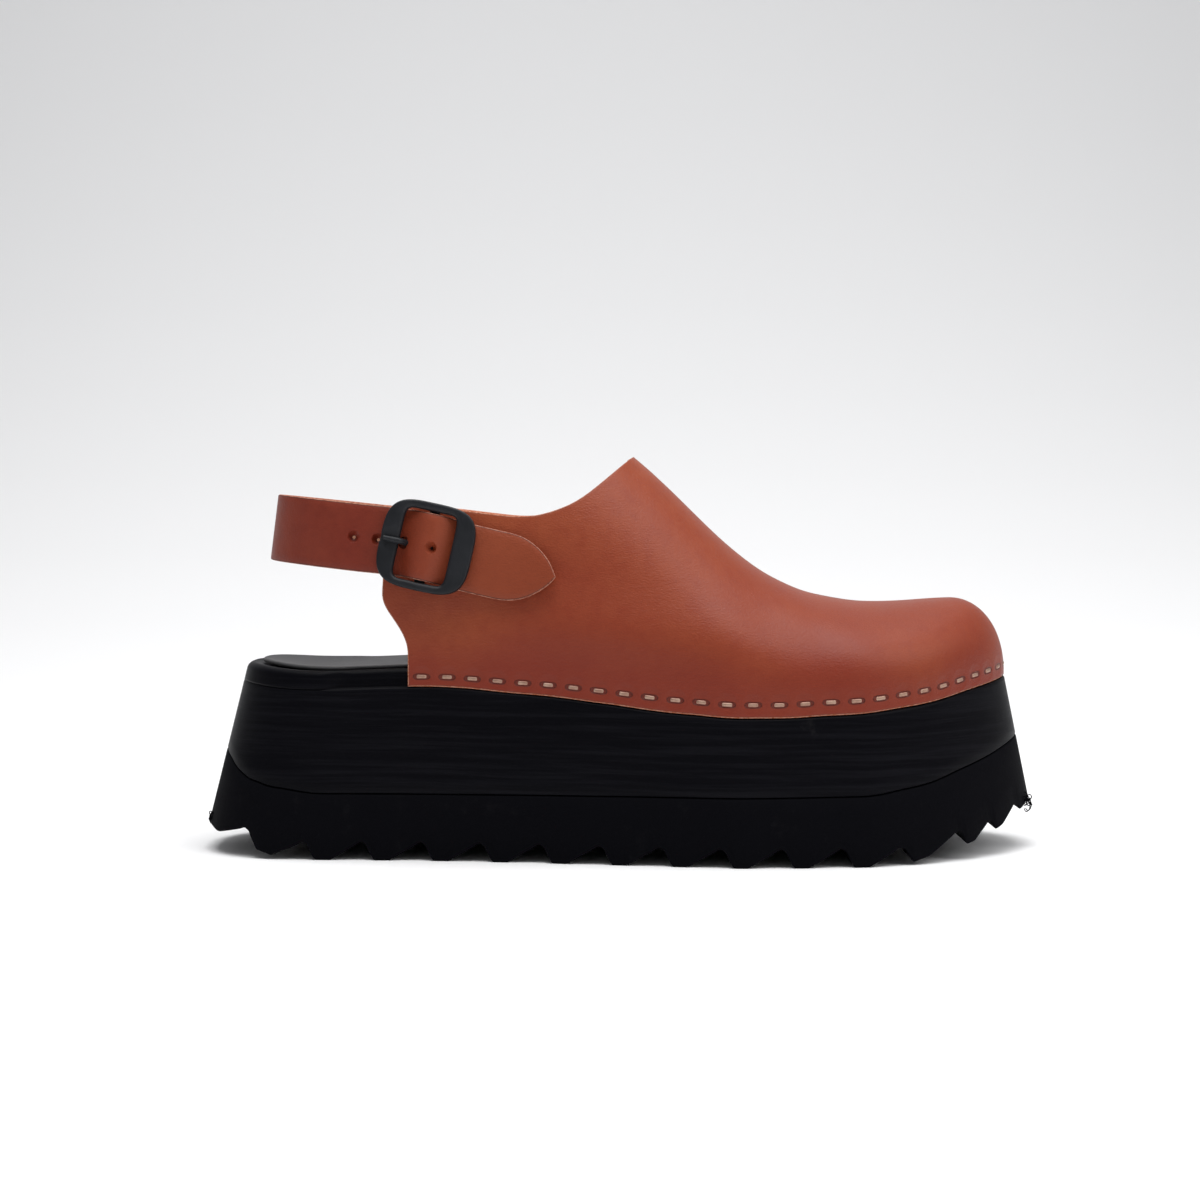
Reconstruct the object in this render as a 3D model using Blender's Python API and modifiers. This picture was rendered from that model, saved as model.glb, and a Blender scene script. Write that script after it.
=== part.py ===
# A clog for the right foot: toe along +X, outer side of the foot along -Y, sizes in metres.
import math

import bmesh
import bpy
from mathutils import Matrix, Vector

# Overall sizes
LENGTH = 0.2805            # heel corner to toe corner
BALL_WIDTH = 0.101         # across the ball, at the floor
INSTEP_HEIGHT = 0.1325     # floor to the peak of the throat
LEDGE_HEIGHT = 0.0573      # floor to the lower edge of the leather, at the heel
BOND_HEIGHT = 0.022        # floor to the joint between rubber and wood, at the waist

# Base
HEEL_CORNER = 0.0095       # height of the rear corner of the rubber
TOE_CORNER = 0.0165        # height of the front corner of the rubber
HEEL_LEAN = 0.2514         # how far the heel wall leans in for each unit of height
TOE_LEAN = 0.206
SIDE_LEAN = 0.065
HEEL_ROUND = 0.135         # share of the length that the round heel takes
HEEL_POWER = 2.3
TOE_ROUND = 0.22
TOE_POWER = 2.0
TOOTH_PITCH = 0.0195
TOOTH_DEPTH = 0.0059
TOOTH_COUNT = 12           # teeth at the full pitch
TOOTH_START = -0.1438      # where the rear tooth begins
RIM_HEIGHT = 0.0060        # ledge to the top edge of the wood
RIM_RADIUS = 0.0020
REBATE_DEPTH = 0.0029
REBATE_START = 0.115       # share of the length where the rebate runs out
REBATE_END = 0.135
DISH_DEPTH = 0.0012        # how far the footbed sinks between its edges
GAP = 0.0003               # clearance between pieces that touch

# Insole
INSOLE_THICKNESS = 0.0012
INSOLE_INSET = 0.0050

# Upper
WALL = 0.0024
THROAT_ALONG = 0.510       # share of the length where the throat peaks
REAR_ALONG = 0.224         # share of the length where the quarter begins
CREST_SHIFT = 0.10         # how far the crest lies to the inner side, as a share of half width
TOE_BOX_START = 0.85       # share of the vamp where the toe wall starts to fall
TOE_BOX_POWER = 2.1
ANKLE_RISE = 0.060
ANKLE_SLOPE = 0.85
BULGE = 0.035
SETBACK = 0.0091           # how far the quarter's edge reaches back over its foot

# Strap and buckle
STRAP_WIDTH = 0.022
STRAP_THICKNESS = 0.0022
STRAP_EDGE = 0.0005
STRAP_REST = 0.0005        # clearance of the strap to the upper
STRAP_TIP_RISE = 0.0010    # how far the loose end stands off
STRAP_SPAN = (-0.0780, -0.0440)   # where the strap spans the hollow of the side
STRAP_TIP_X = -0.0213
STRAP_BEND_X = -0.075      # where the strap leaves the straight sides
STRAP_BACK_X = -0.1150
STRAP_INNER_END_X = -0.044
STRAP_POWER = 2.3
STRAP_LEAN = 0.13          # how far the strap's lower edge stands back at the heel
STRAP_TIP_LENGTH = 0.018
STRAP_TIP_LOOSE = 0.020    # length over which the loose end stands off
HUMP_REACH = 0.0100        # each way along the strap from the buckle's middle
HUMP_SLOPE = 0.0060        # length over which the strap climbs on to the centre bar
HOLE_DIAMETER = 0.0040
HOLE_PLACES = (0.0251, 0.0167, 0.0054, -0.0020, -0.0100)   # behind the buckle's middle
BUCKLE_X = -0.0632
BUCKLE_LENGTH = 0.0305
BUCKLE_WIDTH = 0.0290
BUCKLE_THICKNESS = 0.0030
BUCKLE_POWER = 3.2
REAR_BAR = 0.0061
FRONT_BAR = 0.0070
RAIL = 0.00275
CENTRE_BAR_WIDTH = 0.0034
CENTRE_BAR_DEPTH = 0.0024
CENTRE_BAR_RISE = 0.0009
NOTCH_WIDTH = 0.0038
NOTCH_DEPTH = 0.0011
PRONG_DIAMETER = 0.0020


def table(columns, *rows):
    """A short table as one list of values for each named column."""
    names = columns.split()
    return {name: [row[place] for row in rows] for place, name in enumerate(names)}


# Plan of the base: shares of the length, and of the ball width
PLAN = table(
    "along centre half",
    (0.00, 0.030, 0.352),
    (0.22, 0.017, 0.357),
    (0.36, -0.012, 0.368),
    (0.47, -0.027, 0.405),
    (0.58, -0.025, 0.460),
    (0.66, -0.012, 0.495),
    (0.74, 0.007, 0.500),
    (0.84, 0.032, 0.474),
    (0.94, 0.064, 0.429),
    (1.00, 0.079, 0.392),
)

# Bottom of the teeth: shares of the length, and of the toe corner's height
ROCKER = table(
    "along lift",
    (0.000, 0.57),
    (0.030, 0.37),
    (0.070, 0.18),
    (0.125, 0.00),
    (0.803, 0.00),
    (0.860, 0.17),
    (0.920, 0.39),
    (0.960, 0.65),
    (1.000, 0.97),
)

# Joint of rubber and wood: shares of the length, and of its height at the waist
BOND = table(
    "along height",
    (0.000, 1.55),
    (0.016, 1.42),
    (0.033, 1.26),
    (0.058, 1.13),
    (0.090, 1.05),
    (0.160, 0.98),
    (0.500, 1.00),
    (0.760, 1.02),
    (0.825, 1.10),
    (0.905, 1.34),
    (1.000, 1.72),
)

# Lower edge of the leather: shares of the length, and of its height at the heel
LEDGE = table(
    "along height",
    (0.00, 1.000),
    (0.11, 0.972),
    (0.22, 0.985),
    (0.36, 0.952),
    (0.47, 0.902),
    (0.58, 0.846),
    (0.66, 0.829),
    (0.74, 0.841),
    (0.84, 0.878),
    (0.94, 0.960),
    (1.00, 1.010),
)

# Crest of the vamp from the throat to the toe: shares of the vamp, and of the instep height
CREST = table(
    "along height",
    (0.00, 1.000),
    (0.07, 0.941),
    (0.18, 0.836),
    (0.28, 0.749),
    (0.39, 0.680),
    (0.50, 0.643),
    (0.66, 0.627),
    (0.82, 0.636),
    (1.00, 0.640),
)

# Top edge of the quarters: shares of the length, and of the instep height
TOPLINE = table(
    "along height",
    (0.18, 0.862),
    (0.25, 0.866),
    (0.316, 0.859),
    (0.366, 0.849),
    (0.416, 0.869),
    (0.465, 0.928),
    (0.491, 0.972),
    (0.510, 1.000),
)

# Rear edge of the quarters: share of the wall's height, and of the setback
REAR_EDGE = table(
    "rise back",
    (0.00, 0.00),
    (0.19, 0.00),
    (0.30, 0.21),
    (0.41, 0.71),
    (0.51, 1.00),
    (0.60, 0.95),
    (1.00, 0.98),
)

# How square each arch of the upper is
SQUARENESS = table(
    "along power",
    (0.20, 2.30),
    (0.51, 2.10),
    (0.75, 2.40),
    (1.00, 2.50),
)

# Middle of the strap: place along X, and height
STRAP_LINE = table(
    "place height",
    (-0.1170, 0.1087),
    (-0.0850, 0.1052),
    (-0.0740, 0.1040),
    (-0.0630, 0.1020),
    (-0.0500, 0.0987),
    (-0.0213, 0.0925),
)

# Toe teeth, closer and shallower: shares of the pitch and of the depth
TOE_TEETH = table(
    "pitch depth",
    (1.06, 0.95),
    (0.59, 0.75),
    (0.54, 0.62),
    (0.54, 0.50),
)

# One tooth from gap to gap: shares of the pitch, and of the depth
TOOTH = table(
    "along height",
    (0.00, 1.00),
    (0.07, 0.86),
    (0.20, 0.00),
    (0.45, 0.00),
    (0.88, 0.82),
    (0.95, 0.97),
)

OUTER = -1                 # the side of the little toe
INNER = 1


def read(rows, column, at):
    """A smooth value of a table's column at a place in its first column."""
    places = list(rows.values())[0]
    values = rows[column]
    if at <= places[0]:
        return values[0]
    if at >= places[-1]:
        return values[-1]
    steps = [after - before for before, after in zip(places, places[1:])]
    rises = [after - before for before, after in zip(values, values[1:])]
    rates = [rise / step for rise, step in zip(rises, steps)]
    slopes = [rates[0]]
    for before, after in zip(rates, rates[1:]):
        same_way = before * after > 0
        slopes.append(2 * before * after / (before + after) if same_way else 0.0)
    slopes.append(rates[-1])
    cell = max(place for place in range(len(steps)) if places[place] <= at)
    share = (at - places[cell]) / steps[cell]
    start = values[cell] + slopes[cell] * steps[cell] * share
    end = values[cell + 1] - slopes[cell + 1] * steps[cell] * (1 - share)
    ease = share * share * (3 - 2 * share)
    return start * (1 - ease) + end * ease


def mix(start, end, share):
    return start + (end - start) * share


def smooth(share):
    held = min(max(share, 0.0), 1.0)
    return held * held * (3 - 2 * held)


def superround(share, power):
    """The height of a superellipse's quarter at a share of its length."""
    held = min(max(share, 0.0), 1.0)
    return (1 - held ** power) ** (1 / power)


def heel_x(height):
    return -LENGTH / 2 + HEEL_LEAN * (height - HEEL_CORNER)


def toe_x(height):
    return LENGTH / 2 - TOE_LEAN * (height - TOE_CORNER)


def place_x(along, height, inset=0.0):
    return mix(heel_x(height) + inset, toe_x(height) - inset, along)


def end_rounding(along):
    heel = superround((HEEL_ROUND - along) / HEEL_ROUND, HEEL_POWER)
    toe = superround((along - 1 + TOE_ROUND) / TOE_ROUND, TOE_POWER)
    return heel * toe


def centre_y(along):
    return read(PLAN, "centre", along) * BALL_WIDTH


def wall_point(along, height, side, inset=0.0):
    """A point on the base's wall, set in by some depth."""
    body = read(PLAN, "half", along) * BALL_WIDTH
    body *= 1 - SIDE_LEAN * height / (BALL_WIDTH / 2)
    y = centre_y(along) + side * (body - inset) * end_rounding(along)
    return Vector((place_x(along, height, inset), y, height))


def bond(along):
    return read(BOND, "height", along) * BOND_HEIGHT


def ledge(along):
    return read(LEDGE, "height", along) * LEDGE_HEIGHT


def rim(along):
    return ledge(along) + RIM_HEIGHT


def rebate(along):
    return REBATE_DEPTH * smooth((along - REBATE_START) / (REBATE_END - REBATE_START))


def stations(count, start=0.0, end=1.0):
    """Shares from start to end, closer together near both ends."""
    return [mix(start, end, 0.5 - 0.5 * math.cos(math.pi * step / count)) for step in range(count + 1)]


def finish_mesh(name, mesh_data, merge=0.00001):
    """An object from a bmesh, merged, with its faces pointing out."""
    bmesh.ops.remove_doubles(mesh_data, verts=mesh_data.verts, dist=merge)
    bmesh.ops.dissolve_degenerate(mesh_data, edges=mesh_data.edges, dist=merge)
    bmesh.ops.recalc_face_normals(mesh_data, faces=mesh_data.faces)
    mesh = bpy.data.meshes.new(name)
    mesh_data.to_mesh(mesh)
    mesh_data.free()
    return bpy.data.objects.new(name, mesh)


def bridge(mesh_data, first, second, closed=False):
    """Faces between two rows of vertices."""
    count = len(first)
    for step in range(count if closed else count - 1):
        after = (step + 1) % count
        corners = []
        for corner in (first[step], first[after], second[after], second[step]):
            if corner not in corners:
                corners.append(corner)
        if len(corners) > 2:
            mesh_data.faces.new(corners)


def base_loft(name, shares, rings, across=1, sink=None):
    """A closed form through rings round the base, capped by strips from side to side."""
    mesh_data = bmesh.new()
    rows = []
    for ring in rings:
        row = [mesh_data.verts.new(ring(along, OUTER)) for along in shares]
        row += [mesh_data.verts.new(ring(along, INNER)) for along in reversed(shares[1:-1])]
        rows.append(row)
    for lower, upper in zip(rows, rows[1:]):
        bridge(mesh_data, lower, upper, closed=True)
    last = len(shares) - 1
    for row, columns, dish in ((rows[0], 1, None), (rows[-1], across, sink)):
        outer = row[:last + 1]
        inner = [outer[0]] + list(reversed(row[last + 1:])) + [outer[last]]
        strips = [outer]
        for column in range(1, columns):
            share = column / columns
            strip = [outer[0]]
            for step in range(1, last):
                point = outer[step].co.lerp(inner[step].co, share)
                point.z -= dish(shares[step], 2 * share - 1)
                strip.append(mesh_data.verts.new(point))
            strip.append(outer[last])
            strips.append(strip)
        strips.append(inner)
        for before, after in zip(strips, strips[1:]):
            bridge(mesh_data, before, after)
    return finish_mesh(name, mesh_data)


def evaluated_copy(source, name):
    """A plain mesh object of what a curve or a modified object shows."""
    bpy.context.view_layer.update()
    shown = source.evaluated_get(bpy.context.evaluated_depsgraph_get())
    mesh = bpy.data.meshes.new_from_object(shown)
    mesh_data = bmesh.new()
    mesh_data.from_mesh(mesh)
    bmesh.ops.remove_doubles(mesh_data, verts=mesh_data.verts, dist=0.00001)
    mesh_data.to_mesh(mesh)
    mesh_data.free()
    mesh.name = name
    copy = bpy.data.objects.new(name, mesh)
    copy.matrix_world = source.matrix_world.copy()
    return copy


def outline_plate(name, outlines, depth):
    """A flat plate from closed outlines in its own XY plane, centred on that plane."""
    curve = bpy.data.curves.new(name, "CURVE")
    curve.dimensions = "2D"
    curve.fill_mode = "BOTH"
    curve.extrude = depth / 2
    for outline in outlines:
        spline = curve.splines.new("POLY")
        spline.points.add(len(outline) - 1)
        for point, (x, y) in zip(spline.points, outline):
            point.co = (x, y, 0, 1)
        spline.use_cyclic_u = True
    source = bpy.data.objects.new(name + "_outline", curve)
    bpy.context.scene.collection.objects.link(source)
    plate = evaluated_copy(source, name)
    bpy.data.objects.remove(source)
    return plate


def material(name, colour, roughness, metallic=0.0):
    finish = bpy.data.materials.new(name)
    finish.use_nodes = True
    shader = finish.node_tree.nodes["Principled BSDF"]
    shader.inputs["Base Color"].default_value = (*colour, 1)
    shader.inputs["Roughness"].default_value = roughness
    shader.inputs["Metallic"].default_value = metallic
    finish.diffuse_color = (*colour, 1)
    return finish


def add_part(collection, part, finish, sharp_angle=40):
    part.data.materials.clear()
    part.data.materials.append(finish)
    part.data.shade_smooth()
    part.data.set_sharp_from_angle(angle=math.radians(sharp_angle))
    collection.objects.link(part)
    return part


def add_cutter(collection, cutter):
    cutter.hide_render = True
    cutter.display_type = "WIRE"
    collection.objects.link(cutter)
    return cutter


def boolean(part, cutter, operation):
    modifier = part.modifiers.new(operation.lower() + "_" + cutter.name, "BOOLEAN")
    modifier.operation = operation
    modifier.solver = "EXACT"
    modifier.object = cutter
    return modifier


def tooth_line():
    """The saw-tooth bottom of the rubber, from heel to toe."""
    points = []
    start = TOOTH_START
    pitches = [(TOOTH_PITCH, TOOTH_DEPTH)] * TOOTH_COUNT
    for pitch, depth in zip(TOE_TEETH["pitch"], TOE_TEETH["depth"]):
        pitches.append((pitch * TOOTH_PITCH, depth * TOOTH_DEPTH))
    for pitch, depth in pitches:
        for along, height in zip(TOOTH["along"], TOOTH["height"]):
            x = start + along * pitch
            lift = read(ROCKER, "lift", (x + LENGTH / 2) / LENGTH) * TOE_CORNER
            points.append((x, lift + height * depth))
        start += pitch
    return points


def make_outsole(parts, cutters, finish):
    shares = stations(44)
    top = max(BOND["height"]) * BOND_HEIGHT
    rings = (
        lambda along, side: wall_point(along, -GAP, side),
        lambda along, side: wall_point(along, top, side),
    )
    outsole = base_loft("outsole", shares, rings)
    outline = tooth_line()
    outline.append((LENGTH, outline[-1][1]))
    outline.append((LENGTH, bond(1)))
    outline += [(place_x(along, bond(along)), bond(along)) for along in reversed(stations(44))]
    outline.append((-LENGTH, bond(0)))
    outline.append((-LENGTH, outline[0][1]))
    side_view = outline_plate("outsole_side_view", [outline], 2 * BALL_WIDTH)
    side_view.data.transform(Matrix.Rotation(math.pi / 2, 4, "X"))
    boolean(outsole, add_cutter(cutters, side_view), "INTERSECT")
    return add_part(parts, outsole, finish, 25)


def footbed_sink(along, across):
    """How far the footbed lies below its edges, from -1 to 1 across."""
    return DISH_DEPTH * (1 - across * across) * end_rounding(along)


def make_platform(parts, finish):
    rings = (
        lambda along, side: wall_point(along, bond(along) + GAP, side),
        lambda along, side: wall_point(along, ledge(along), side),
        lambda along, side: wall_point(along, ledge(along), side, rebate(along)),
        lambda along, side: wall_point(along, rim(along) - RIM_RADIUS, side, rebate(along)),
        lambda along, side: wall_point(along, rim(along) - 0.3 * RIM_RADIUS, side,
                                       rebate(along) + 0.3 * RIM_RADIUS),
        lambda along, side: wall_point(along, rim(along), side, rebate(along) + RIM_RADIUS),
    )
    platform = base_loft("platform", stations(44), rings, 6, footbed_sink)
    return add_part(parts, platform, finish)


def make_insole(parts, finish):
    def edge(rise):
        return lambda along, side: (wall_point(along, rim(along), side, rebate(along) + INSOLE_INSET)
                                    + Vector((0, 0, rise)))

    insole = base_loft("insole", stations(36), (edge(GAP), edge(GAP + INSOLE_THICKNESS)), 6,
                       footbed_sink)
    return add_part(parts, insole, finish)


def crest_height(along):
    """Height of the arch's top, real over the vamp and implied behind the throat."""
    if along < THROAT_ALONG:
        behind = (THROAT_ALONG - along) * LENGTH
        return INSTEP_HEIGHT + ANKLE_RISE * (1 - math.exp(-ANKLE_SLOPE * behind / ANKLE_RISE))
    share = (along - THROAT_ALONG) / (1 - THROAT_ALONG)
    top = read(CREST, "height", share) * INSTEP_HEIGHT
    foot = ledge(along) + GAP
    return foot + (top - foot) * superround((share - TOE_BOX_START) / (1 - TOE_BOX_START), TOE_BOX_POWER)


def arch_y(along, side, rise):
    """Sideways place of the upper's outer face at a share of the arch's height."""
    foot = wall_point(along, ledge(along), side, GAP / 3).y
    reach = foot - centre_y(along)
    crest = centre_y(along) + CREST_SHIFT * abs(reach)
    power = read(SQUARENESS, "power", along)
    swell = 1 + BULGE * math.sin(math.pi * rise) ** 2
    return crest + (foot - crest) * superround(rise, power) * swell


def arch_point(along, side, rise):
    foot = ledge(along) + GAP
    x = place_x(along, ledge(along), GAP / 3)
    return Vector((x, arch_y(along, side, rise), mix(foot, crest_height(along), rise)))


def top_rise(along):
    """Share of the arch's height that the leather reaches."""
    if along >= THROAT_ALONG:
        return 1.0
    foot = ledge(along) + GAP
    return (read(TOPLINE, "height", along) * INSTEP_HEIGHT - foot) / (crest_height(along) - foot)


def upper_shares():
    quarter = [mix(REAR_ALONG, 0.47, step / 11) for step in range(11)]
    throat = [THROAT_ALONG - 0.04 * (1 - step / 5) ** 2 for step in range(5)]
    vamp = [mix(THROAT_ALONG, 1.0, math.sin(math.pi / 2 * step / 22)) for step in range(23)]
    return quarter + throat + vamp


def upper_point(along, side, step, count):
    """A point of the upper's outer face, counted from its lower edge to its top."""
    power = read(SQUARENESS, "power", along)
    widest = math.asin(min(1.0, top_rise(along) ** (power / 2)))
    rise = math.sin(widest * step / count) ** (2 / power)
    share = rise / top_rise(along)
    fade = smooth(1 - (along - REAR_ALONG) / 0.09)
    back = read(REAR_EDGE, "back", share) * SETBACK / LENGTH * fade
    return arch_point(along - back, side, rise)


def make_upper(parts, finish):
    count = 11
    mesh_data = bmesh.new()
    for side in (OUTER, INNER):
        columns = []
        for along in upper_shares():
            columns.append([mesh_data.verts.new(upper_point(along, side, step, count))
                            for step in range(count + 1)])
        for before, after in zip(columns, columns[1:]):
            bridge(mesh_data, before, after)
    upper = finish_mesh("upper", mesh_data, 0.00002)
    outward = max(upper.data.polygons, key=lambda face: face.center.z)
    if outward.normal.z < 0:
        upper.data.flip_normals()
    wall = upper.modifiers.new("wall", "SOLIDIFY")
    wall.thickness = WALL
    wall.offset = -1
    return add_part(parts, upper, finish, 50)


def along_of_x(x):
    """Share of the length at a place along X, at the height of the ledge."""
    height = LEDGE_HEIGHT
    return (x - heel_x(height)) / (toe_x(height) - heel_x(height))


def side_face(x, side, height):
    """The upper's outer face at a place along X and a height."""
    along = along_of_x(x)
    foot = ledge(along) + GAP
    return arch_y(along, side, (height - foot) / (crest_height(along) - foot))


def strap_height(x):
    return read(STRAP_LINE, "height", x)


def strap_slope(x):
    step = STRAP_WIDTH / 8
    return (strap_height(x + step) - strap_height(x - step)) / (2 * step)


def strap_face(x, side, up, height):
    """Sideways place of the strap's inner face, straight where it spans the hollow of the side."""
    rear, front = STRAP_SPAN
    if x > front:
        return side_face(x, side, height)
    faces = [side_face(end, side, strap_height(end) + up) for end in STRAP_SPAN]
    return mix(*faces, (x - rear) / (front - rear))


def strap_base(x, side, closing, up):
    """A point where the strap's inner face would touch the shoe, up from the strap's middle."""
    middle = centre_y(along_of_x(STRAP_BEND_X))
    slope = strap_slope(x) * closing
    rise = up / math.hypot(1, slope)
    place = x - slope * rise
    height = strap_height(x) + rise
    y = middle + (strap_face(place, side, up, height) - middle) * closing
    return Vector((place + STRAP_LEAN * up * (1 - closing), y, height))


def strap_route():
    """The strap's stations: place along X, side and closing, from its tip round the heel."""
    route = [(x, OUTER, 1.0) for x in stations(14, STRAP_TIP_X, BUCKLE_X + HUMP_REACH)]
    route += [(BUCKLE_X + HUMP_REACH * (1 - step / 8), OUTER, 1.0) for step in range(1, 17)]
    route.append((STRAP_BEND_X, OUTER, 1.0))
    for step in range(1, 24):
        angle = math.pi * step / 24
        reach = abs(math.sin(angle)) ** (2 / STRAP_POWER)
        closing = abs(math.cos(angle)) ** (2 / STRAP_POWER)
        side = OUTER if step <= 12 else INNER
        route.append((mix(STRAP_BEND_X, STRAP_BACK_X, reach), side, closing))
    for step in range(9):
        route.append((mix(STRAP_BEND_X, STRAP_INNER_END_X, step / 8), INNER, 1.0))
    return route


def buckle_frame_axes():
    """The buckle's place on the upper: +X to the toe along the strap, +Y up, +Z out."""
    before = strap_base(BUCKLE_X - HUMP_REACH, OUTER, 1, 0)
    after = strap_base(BUCKLE_X + HUMP_REACH, OUTER, 1, 0)
    forward = (after - before).normalized()
    low = strap_base(BUCKLE_X, OUTER, 1, -STRAP_WIDTH / 2)
    high = strap_base(BUCKLE_X, OUTER, 1, STRAP_WIDTH / 2)
    out = forward.cross((high - low).normalized()).normalized()
    up = out.cross(forward).normalized()
    frame = Matrix((forward, up, out)).transposed().to_4x4()
    frame.translation = strap_base(BUCKLE_X, OUTER, 1, 0)
    return frame


def strap_half_width(x, side):
    if side == INNER:
        return STRAP_WIDTH / 2
    share = min((STRAP_TIP_X - x) / STRAP_TIP_LENGTH, 1.0)
    return STRAP_WIDTH / 2 * max(1 - (1 - share) ** 2.2, 0.002) ** 0.8


def strap_lift(x, side):
    """Height of the strap's inner face over the shoe: it climbs over the buckle's centre bar."""
    if side == INNER:
        return STRAP_REST
    away = abs(x - BUCKLE_X)
    crown = CENTRE_BAR_RISE + CENTRE_BAR_DEPTH + 3 * GAP
    loose = smooth(1 + (x - STRAP_TIP_X) / STRAP_TIP_LOOSE) * STRAP_TIP_RISE
    return mix(crown, STRAP_REST, smooth((away - CENTRE_BAR_WIDTH / 2) / HUMP_SLOPE)) + loose


def make_strap(parts, cutters, finish):
    route = strap_route()
    middles = [strap_base(x, side, closing, 0) for x, side, closing in route]
    mesh_data = bmesh.new()
    rows = []
    for place, (x, side, closing) in enumerate(route):
        before = middles[max(place - 1, 0)]
        after = middles[min(place + 1, len(route) - 1)]
        forward = (after - before).normalized()
        half = strap_half_width(x, side)
        low = strap_base(x, side, closing, -half)
        high = strap_base(x, side, closing, half)
        out = forward.cross((low - high).normalized()).normalized()
        lift = strap_lift(x, side)
        edge = min(STRAP_EDGE / half, 0.5)
        bottom = lift + 0.5 * STRAP_EDGE
        top = lift + STRAP_THICKNESS
        section = (
            (edge, lift), (0.5, lift), (1 - edge, lift), (1, bottom), (1, top - STRAP_EDGE), (1 - edge, top),
            (0.5, top), (edge, top), (0, top - STRAP_EDGE), (0, bottom),
        )
        row = []
        for share, rise in section:
            inner = strap_base(x, side, closing, mix(-half, half, share))
            row.append(mesh_data.verts.new(inner + out * rise))
        rows.append(row)
    for before, after in zip(rows, rows[1:]):
        bridge(mesh_data, before, after, closed=True)
    mesh_data.faces.new(rows[0])
    mesh_data.faces.new(rows[-1])
    strap = finish_mesh("heel_strap", mesh_data)
    for number, behind in enumerate(HOLE_PLACES):
        boolean(strap, make_hole_cutter(cutters, number, behind), "DIFFERENCE")
    return add_part(parts, strap, finish)


def make_hole_cutter(cutters, number, behind):
    """A round punch through the strap, square to the face behind it."""
    cutter_data = bmesh.new()
    radius = HOLE_DIAMETER / 2
    bmesh.ops.create_cone(cutter_data, cap_ends=True, segments=16, radius1=radius, radius2=radius,
                          depth=8 * STRAP_THICKNESS)
    cutter = finish_mesh("strap_hole_%d" % number, cutter_data)
    frame = buckle_frame_axes()
    x = BUCKLE_X - behind * frame.col[0].x
    frame.translation = strap_base(x, OUTER, 1, 0)
    cutter.data.transform(frame)
    return add_cutter(cutters, cutter)


def ring_outline(half_length, half_width, power, shift, count):
    """A superellipse as points."""
    points = []
    for step in range(count):
        angle = 2 * math.pi * step / count
        x = math.copysign(abs(math.cos(angle)) ** (2 / power), math.cos(angle))
        y = math.copysign(abs(math.sin(angle)) ** (2 / power), math.sin(angle))
        points.append((shift + half_length * x, half_width * y))
    return points


def make_block(name, size, centre):
    block_data = bmesh.new()
    bmesh.ops.create_cube(block_data, size=1)
    block = finish_mesh(name, block_data)
    block.data.transform(Matrix.Translation(centre) @ Matrix.Diagonal((*size, 1)))
    return block


def buckle_level():
    """Height of the frame's underside over the shoe: it lies on the strap."""
    return STRAP_REST + STRAP_THICKNESS + 1.5 * GAP


def make_buckle_frame(parts, cutters, finish):
    axes = buckle_frame_axes()
    level = buckle_level()
    opening = BUCKLE_LENGTH - REAR_BAR - FRONT_BAR
    shift = (REAR_BAR - FRONT_BAR) / 2
    outer = ring_outline(BUCKLE_LENGTH / 2, BUCKLE_WIDTH / 2, BUCKLE_POWER, 0, 44)
    inner = ring_outline(opening / 2, BUCKLE_WIDTH / 2 - RAIL, 2 * BUCKLE_POWER, shift, 32)
    frame = outline_plate("buckle_frame", [outer, inner], BUCKLE_THICKNESS)
    frame.data.transform(Matrix.Translation((0, 0, level + BUCKLE_THICKNESS / 2)))
    bar_top = CENTRE_BAR_RISE + CENTRE_BAR_DEPTH
    leg_height = level + 0.6 * BUCKLE_THICKNESS - CENTRE_BAR_RISE
    bar = make_block("buckle_centre_bar", (CENTRE_BAR_WIDTH, BUCKLE_WIDTH - 1.2 * RAIL, CENTRE_BAR_DEPTH),
                     (0, 0, bar_top - CENTRE_BAR_DEPTH / 2))
    bar.data.transform(axes)
    boolean(frame, add_cutter(cutters, bar), "UNION")
    for side in (-1, 1):
        leg = make_block("buckle_leg_%s" % ("low" if side < 0 else "high"),
                         (1.2 * CENTRE_BAR_WIDTH, 0.6 * RAIL, leg_height),
                         (0, side * (BUCKLE_WIDTH / 2 - 0.6 * RAIL), CENTRE_BAR_RISE + leg_height / 2))
        leg.data.transform(axes)
        boolean(frame, add_cutter(cutters, leg), "UNION")
    notch = make_block("buckle_notch", (2.6 * REAR_BAR, NOTCH_WIDTH, 2 * NOTCH_DEPTH),
                       (-BUCKLE_LENGTH / 2, 0, level + BUCKLE_THICKNESS))
    notch.data.transform(axes)
    boolean(frame, add_cutter(cutters, notch), "DIFFERENCE")
    frame.data.transform(axes)
    return add_part(parts, frame, finish)


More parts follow.
